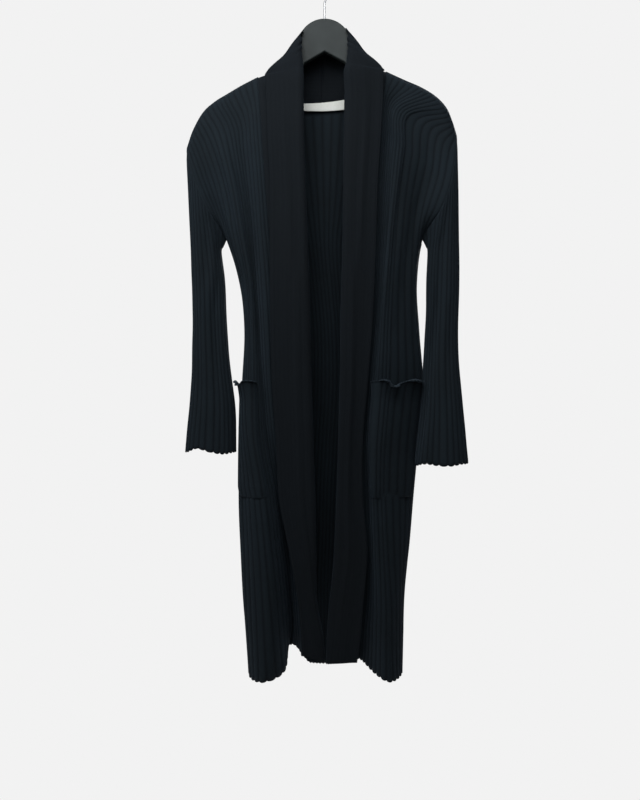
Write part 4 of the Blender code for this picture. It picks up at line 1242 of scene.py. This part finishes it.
def hanger_outline():
    """The plate's outline: round the head, along one arm, up the arch and along the other."""
    centre_z = HEAD_TOP - HEAD_RADIUS
    start = math.atan2(ARM_RIGHT[0][1] - centre_z, ARM_RIGHT[0][0])
    end = math.atan2(ARM_LEFT[0][1] - centre_z, ARM_LEFT[0][0]) + 2 * math.pi
    head = []
    for k in range(1, HEAD_STEPS):
        angle = start + (end - start) * k / HEAD_STEPS
        head.append((HEAD_RADIUS * math.cos(angle), centre_z + HEAD_RADIUS * math.sin(angle)))
    return head + ARM_LEFT + [ARCH_TOP] + ARM_RIGHT[::-1]


bm = bmesh.new()
plate = bm.faces.new([bm.verts.new((x, -PLATE_HALF, z)) for x, z in hanger_outline()])
pushed = bmesh.ops.extrude_face_region(bm, geom=[plate])
moved = [v for v in pushed["geom"] if isinstance(v, bmesh.types.BMVert)]
bmesh.ops.translate(bm, vec=(0, 2 * PLATE_HALF, 0), verts=moved)
rims = [e for e in bm.edges if abs(e.verts[0].co.y - e.verts[1].co.y) < 1e-6]
bmesh.ops.bevel(bm, geom=rims, offset=PLATE_EDGE, segments=RIM_SEGMENTS, profile=0.5,
                affect="EDGES", material=-1)
bmesh.ops.recalc_face_normals(bm, faces=bm.faces)
hanger = keep_object("moulded_hanger", bm, HANGER_PLATE)
for face in hanger.data.polygons:
    face.use_smooth = abs(face.normal.y) < 0.999
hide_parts("hanger_body")
report(hanger)

# %% Bend the hook
WIRE_RADIUS = 1.8
CURL_RADIUS = 22.0
WIRE_SIDES = 20

curl_z = WIRE_RADIUS - CURL_RADIUS
route = [(0, 0, HEAD_TOP - 4), (0, 0, HEAD_TOP + 18), (0.5, 0, -50), (5, 0, -42.5), (13, 0, -36)]
for degrees in range(-25, 226, 25):
    angle = math.radians(degrees)
    route.append((CURL_RADIUS * math.cos(angle), 0, curl_z + CURL_RADIUS * math.sin(angle)))
route = spline(route, 8)
upright = np.array([[0.0, 1.0, 0.0]])
aside = np.cross(unit(np.gradient(route, axis=0)), upright)
skin = tube_points(route, aside, upright, WIRE_RADIUS, WIRE_SIDES)
bm = hung_grid(skin, 1, (1, 1), closed=True)
for end in bmesh.ops.holes_fill(bm, edges=[e for e in bm.edges if e.is_boundary])["faces"]:
    bmesh.ops.inset_individual(bm, faces=[end], thickness=0.5, depth=0.35)
bmesh.ops.recalc_face_normals(bm, faces=bm.faces)
hook = keep_object("wire_hook", bm, HOOK_WIRE)
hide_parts("hanger_hook")
report(hook)

# %% [markdown]
# ## Size of the cloth
#
# Each sheet's width, length and area are printed as it is hung: knitted cloth that hangs freely
# is neither stretched nor shrunk much. Widths are across the ribs.

# %% [markdown]
# ## Light, floor and camera
#
# The jacket hangs before a pale room. Black cloth shows its shape only by sheen, so broad soft
# lights stand above it, in front of it and to its left, and one behind lights the back. The
# camera stands straight in front of the jacket.

# %% Pale floor and world
FLOOR_Z = -2.3
FLOOR_RADIUS = 1.5
ROOM_TONE = 0.888
ROOM_STRENGTH = 0.10
FADE_STARTS = 0.25


def floor_material():
    """Pale matte floor that takes a soft shadow in the middle and fades into the room's tone."""
    made, tree, shader = start_material("pale_floor")
    shader.inputs["Base Color"].default_value = (0.30, 0.30, 0.30, 1)
    shader.inputs["Roughness"].default_value = 0.9
    shader.inputs["Emission Color"].default_value = (0.62, 0.62, 0.62, 1)
    shader.inputs["Emission Strength"].default_value = 1.0
    place = tree.nodes.new("ShaderNodeTexCoord")
    flat = tree.nodes.new("ShaderNodeVectorMath")
    flat.operation = "MULTIPLY"
    flat.inputs[1].default_value = (1, 1, 0)
    tree.links.new(place.outputs["Object"], flat.inputs[0])
    away = tree.nodes.new("ShaderNodeVectorMath")
    away.operation = "LENGTH"
    tree.links.new(flat.outputs[0], away.inputs[0])
    reach = ramp(tree, away.outputs["Value"], (0, 0, 0), (1, 1, 1), FADE_STARTS, 1.0)
    tone = tree.nodes.new("ShaderNodeEmission")
    tone.inputs["Color"].default_value = (ROOM_TONE, ROOM_TONE, ROOM_TONE, 1)
    either = tree.nodes.new("ShaderNodeMixShader")
    tree.links.new(reach, either.inputs[0])
    tree.links.new(shader.outputs[0], either.inputs[1])
    tree.links.new(tone.outputs[0], either.inputs[2])
    tree.links.new(either.outputs[0], tree.nodes["Material Output"].inputs["Surface"])
    return made


bm = bmesh.new()
bmesh.ops.create_circle(bm, cap_ends=True, segments=96, radius=FLOOR_RADIUS / MM)
bmesh.ops.translate(bm, vec=(0, 0, FLOOR_Z / MM), verts=bm.verts)
floor = keep_object("floor", bm, floor_material())
world = bpy.data.worlds.new("pale_room")
bpy.context.scene.world = world
world.use_nodes = True
room = world.node_tree
room_light = room.nodes["Background"]
room_light.inputs["Color"].default_value = (0.94, 0.97, 1.0, 1)
room_light.inputs["Strength"].default_value = ROOM_STRENGTH
seen = room.nodes.new("ShaderNodeBackground")
seen.inputs["Color"].default_value = (ROOM_TONE, ROOM_TONE, ROOM_TONE, 1)
ray = room.nodes.new("ShaderNodeLightPath")
either = room.nodes.new("ShaderNodeMixShader")
room.links.new(ray.outputs["Is Camera Ray"], either.inputs[0])
room.links.new(room_light.outputs[0], either.inputs[1])
room.links.new(seen.outputs[0], either.inputs[2])
room.links.new(either.outputs[0], room.nodes["World Output"].inputs["Surface"])
bpy.context.scene.view_settings.view_transform = "Standard"

# %% Soft studio lights
def soft_light(name, place, aim, size, watts, colour):
    """A rectangular soft box at a place in metres, turned to face the aim."""
    lamp = bpy.data.lights.new(name, "AREA")
    lamp.shape = "RECTANGLE"
    lamp.size, lamp.size_y = size
    lamp.energy = watts
    lamp.color = colour
    made = bpy.data.objects.new(name, lamp)
    made.location = place
    from_to = np.array(aim) - np.array(place)
    pitch = math.atan2(math.hypot(from_to[0], from_to[1]), -from_to[2])
    made.rotation_euler = (pitch, 0, math.atan2(from_to[1], from_to[0]) - math.pi / 2)
    bpy.context.scene.collection.objects.link(made)


soft_light("key", (-0.1, -0.85, 0.45), (0.0, 0, -0.2), (0.7, 0.7), 14, (0.97, 0.99, 1.0))
soft_light("front", (-0.1, -1.6, 0.1), (0.0, 0, -0.25), (0.7, 0.7), 6, (0.98, 0.99, 1.0))
soft_light("fill", (-1.1, -0.8, 0.1), (-0.2, 0, -0.4), (0.8, 1.0), 10, (0.93, 0.97, 1.0))
soft_light("behind", (0.6, 1.5, 0.3), (0.0, 0, -0.5), (1.2, 1.2), 24, (0.97, 0.99, 1.0))

# %% Camera
camera_data = bpy.data.cameras.new("camera")
camera_data.lens = 35
camera_data.sensor_width = 36
camera = bpy.data.objects.new("camera", camera_data)
camera.location = (-0.0083, -1.400, -0.7667)
camera.rotation_euler = (math.pi / 2, 0, 0)
bpy.context.scene.collection.objects.link(camera)
bpy.context.scene.camera = camera
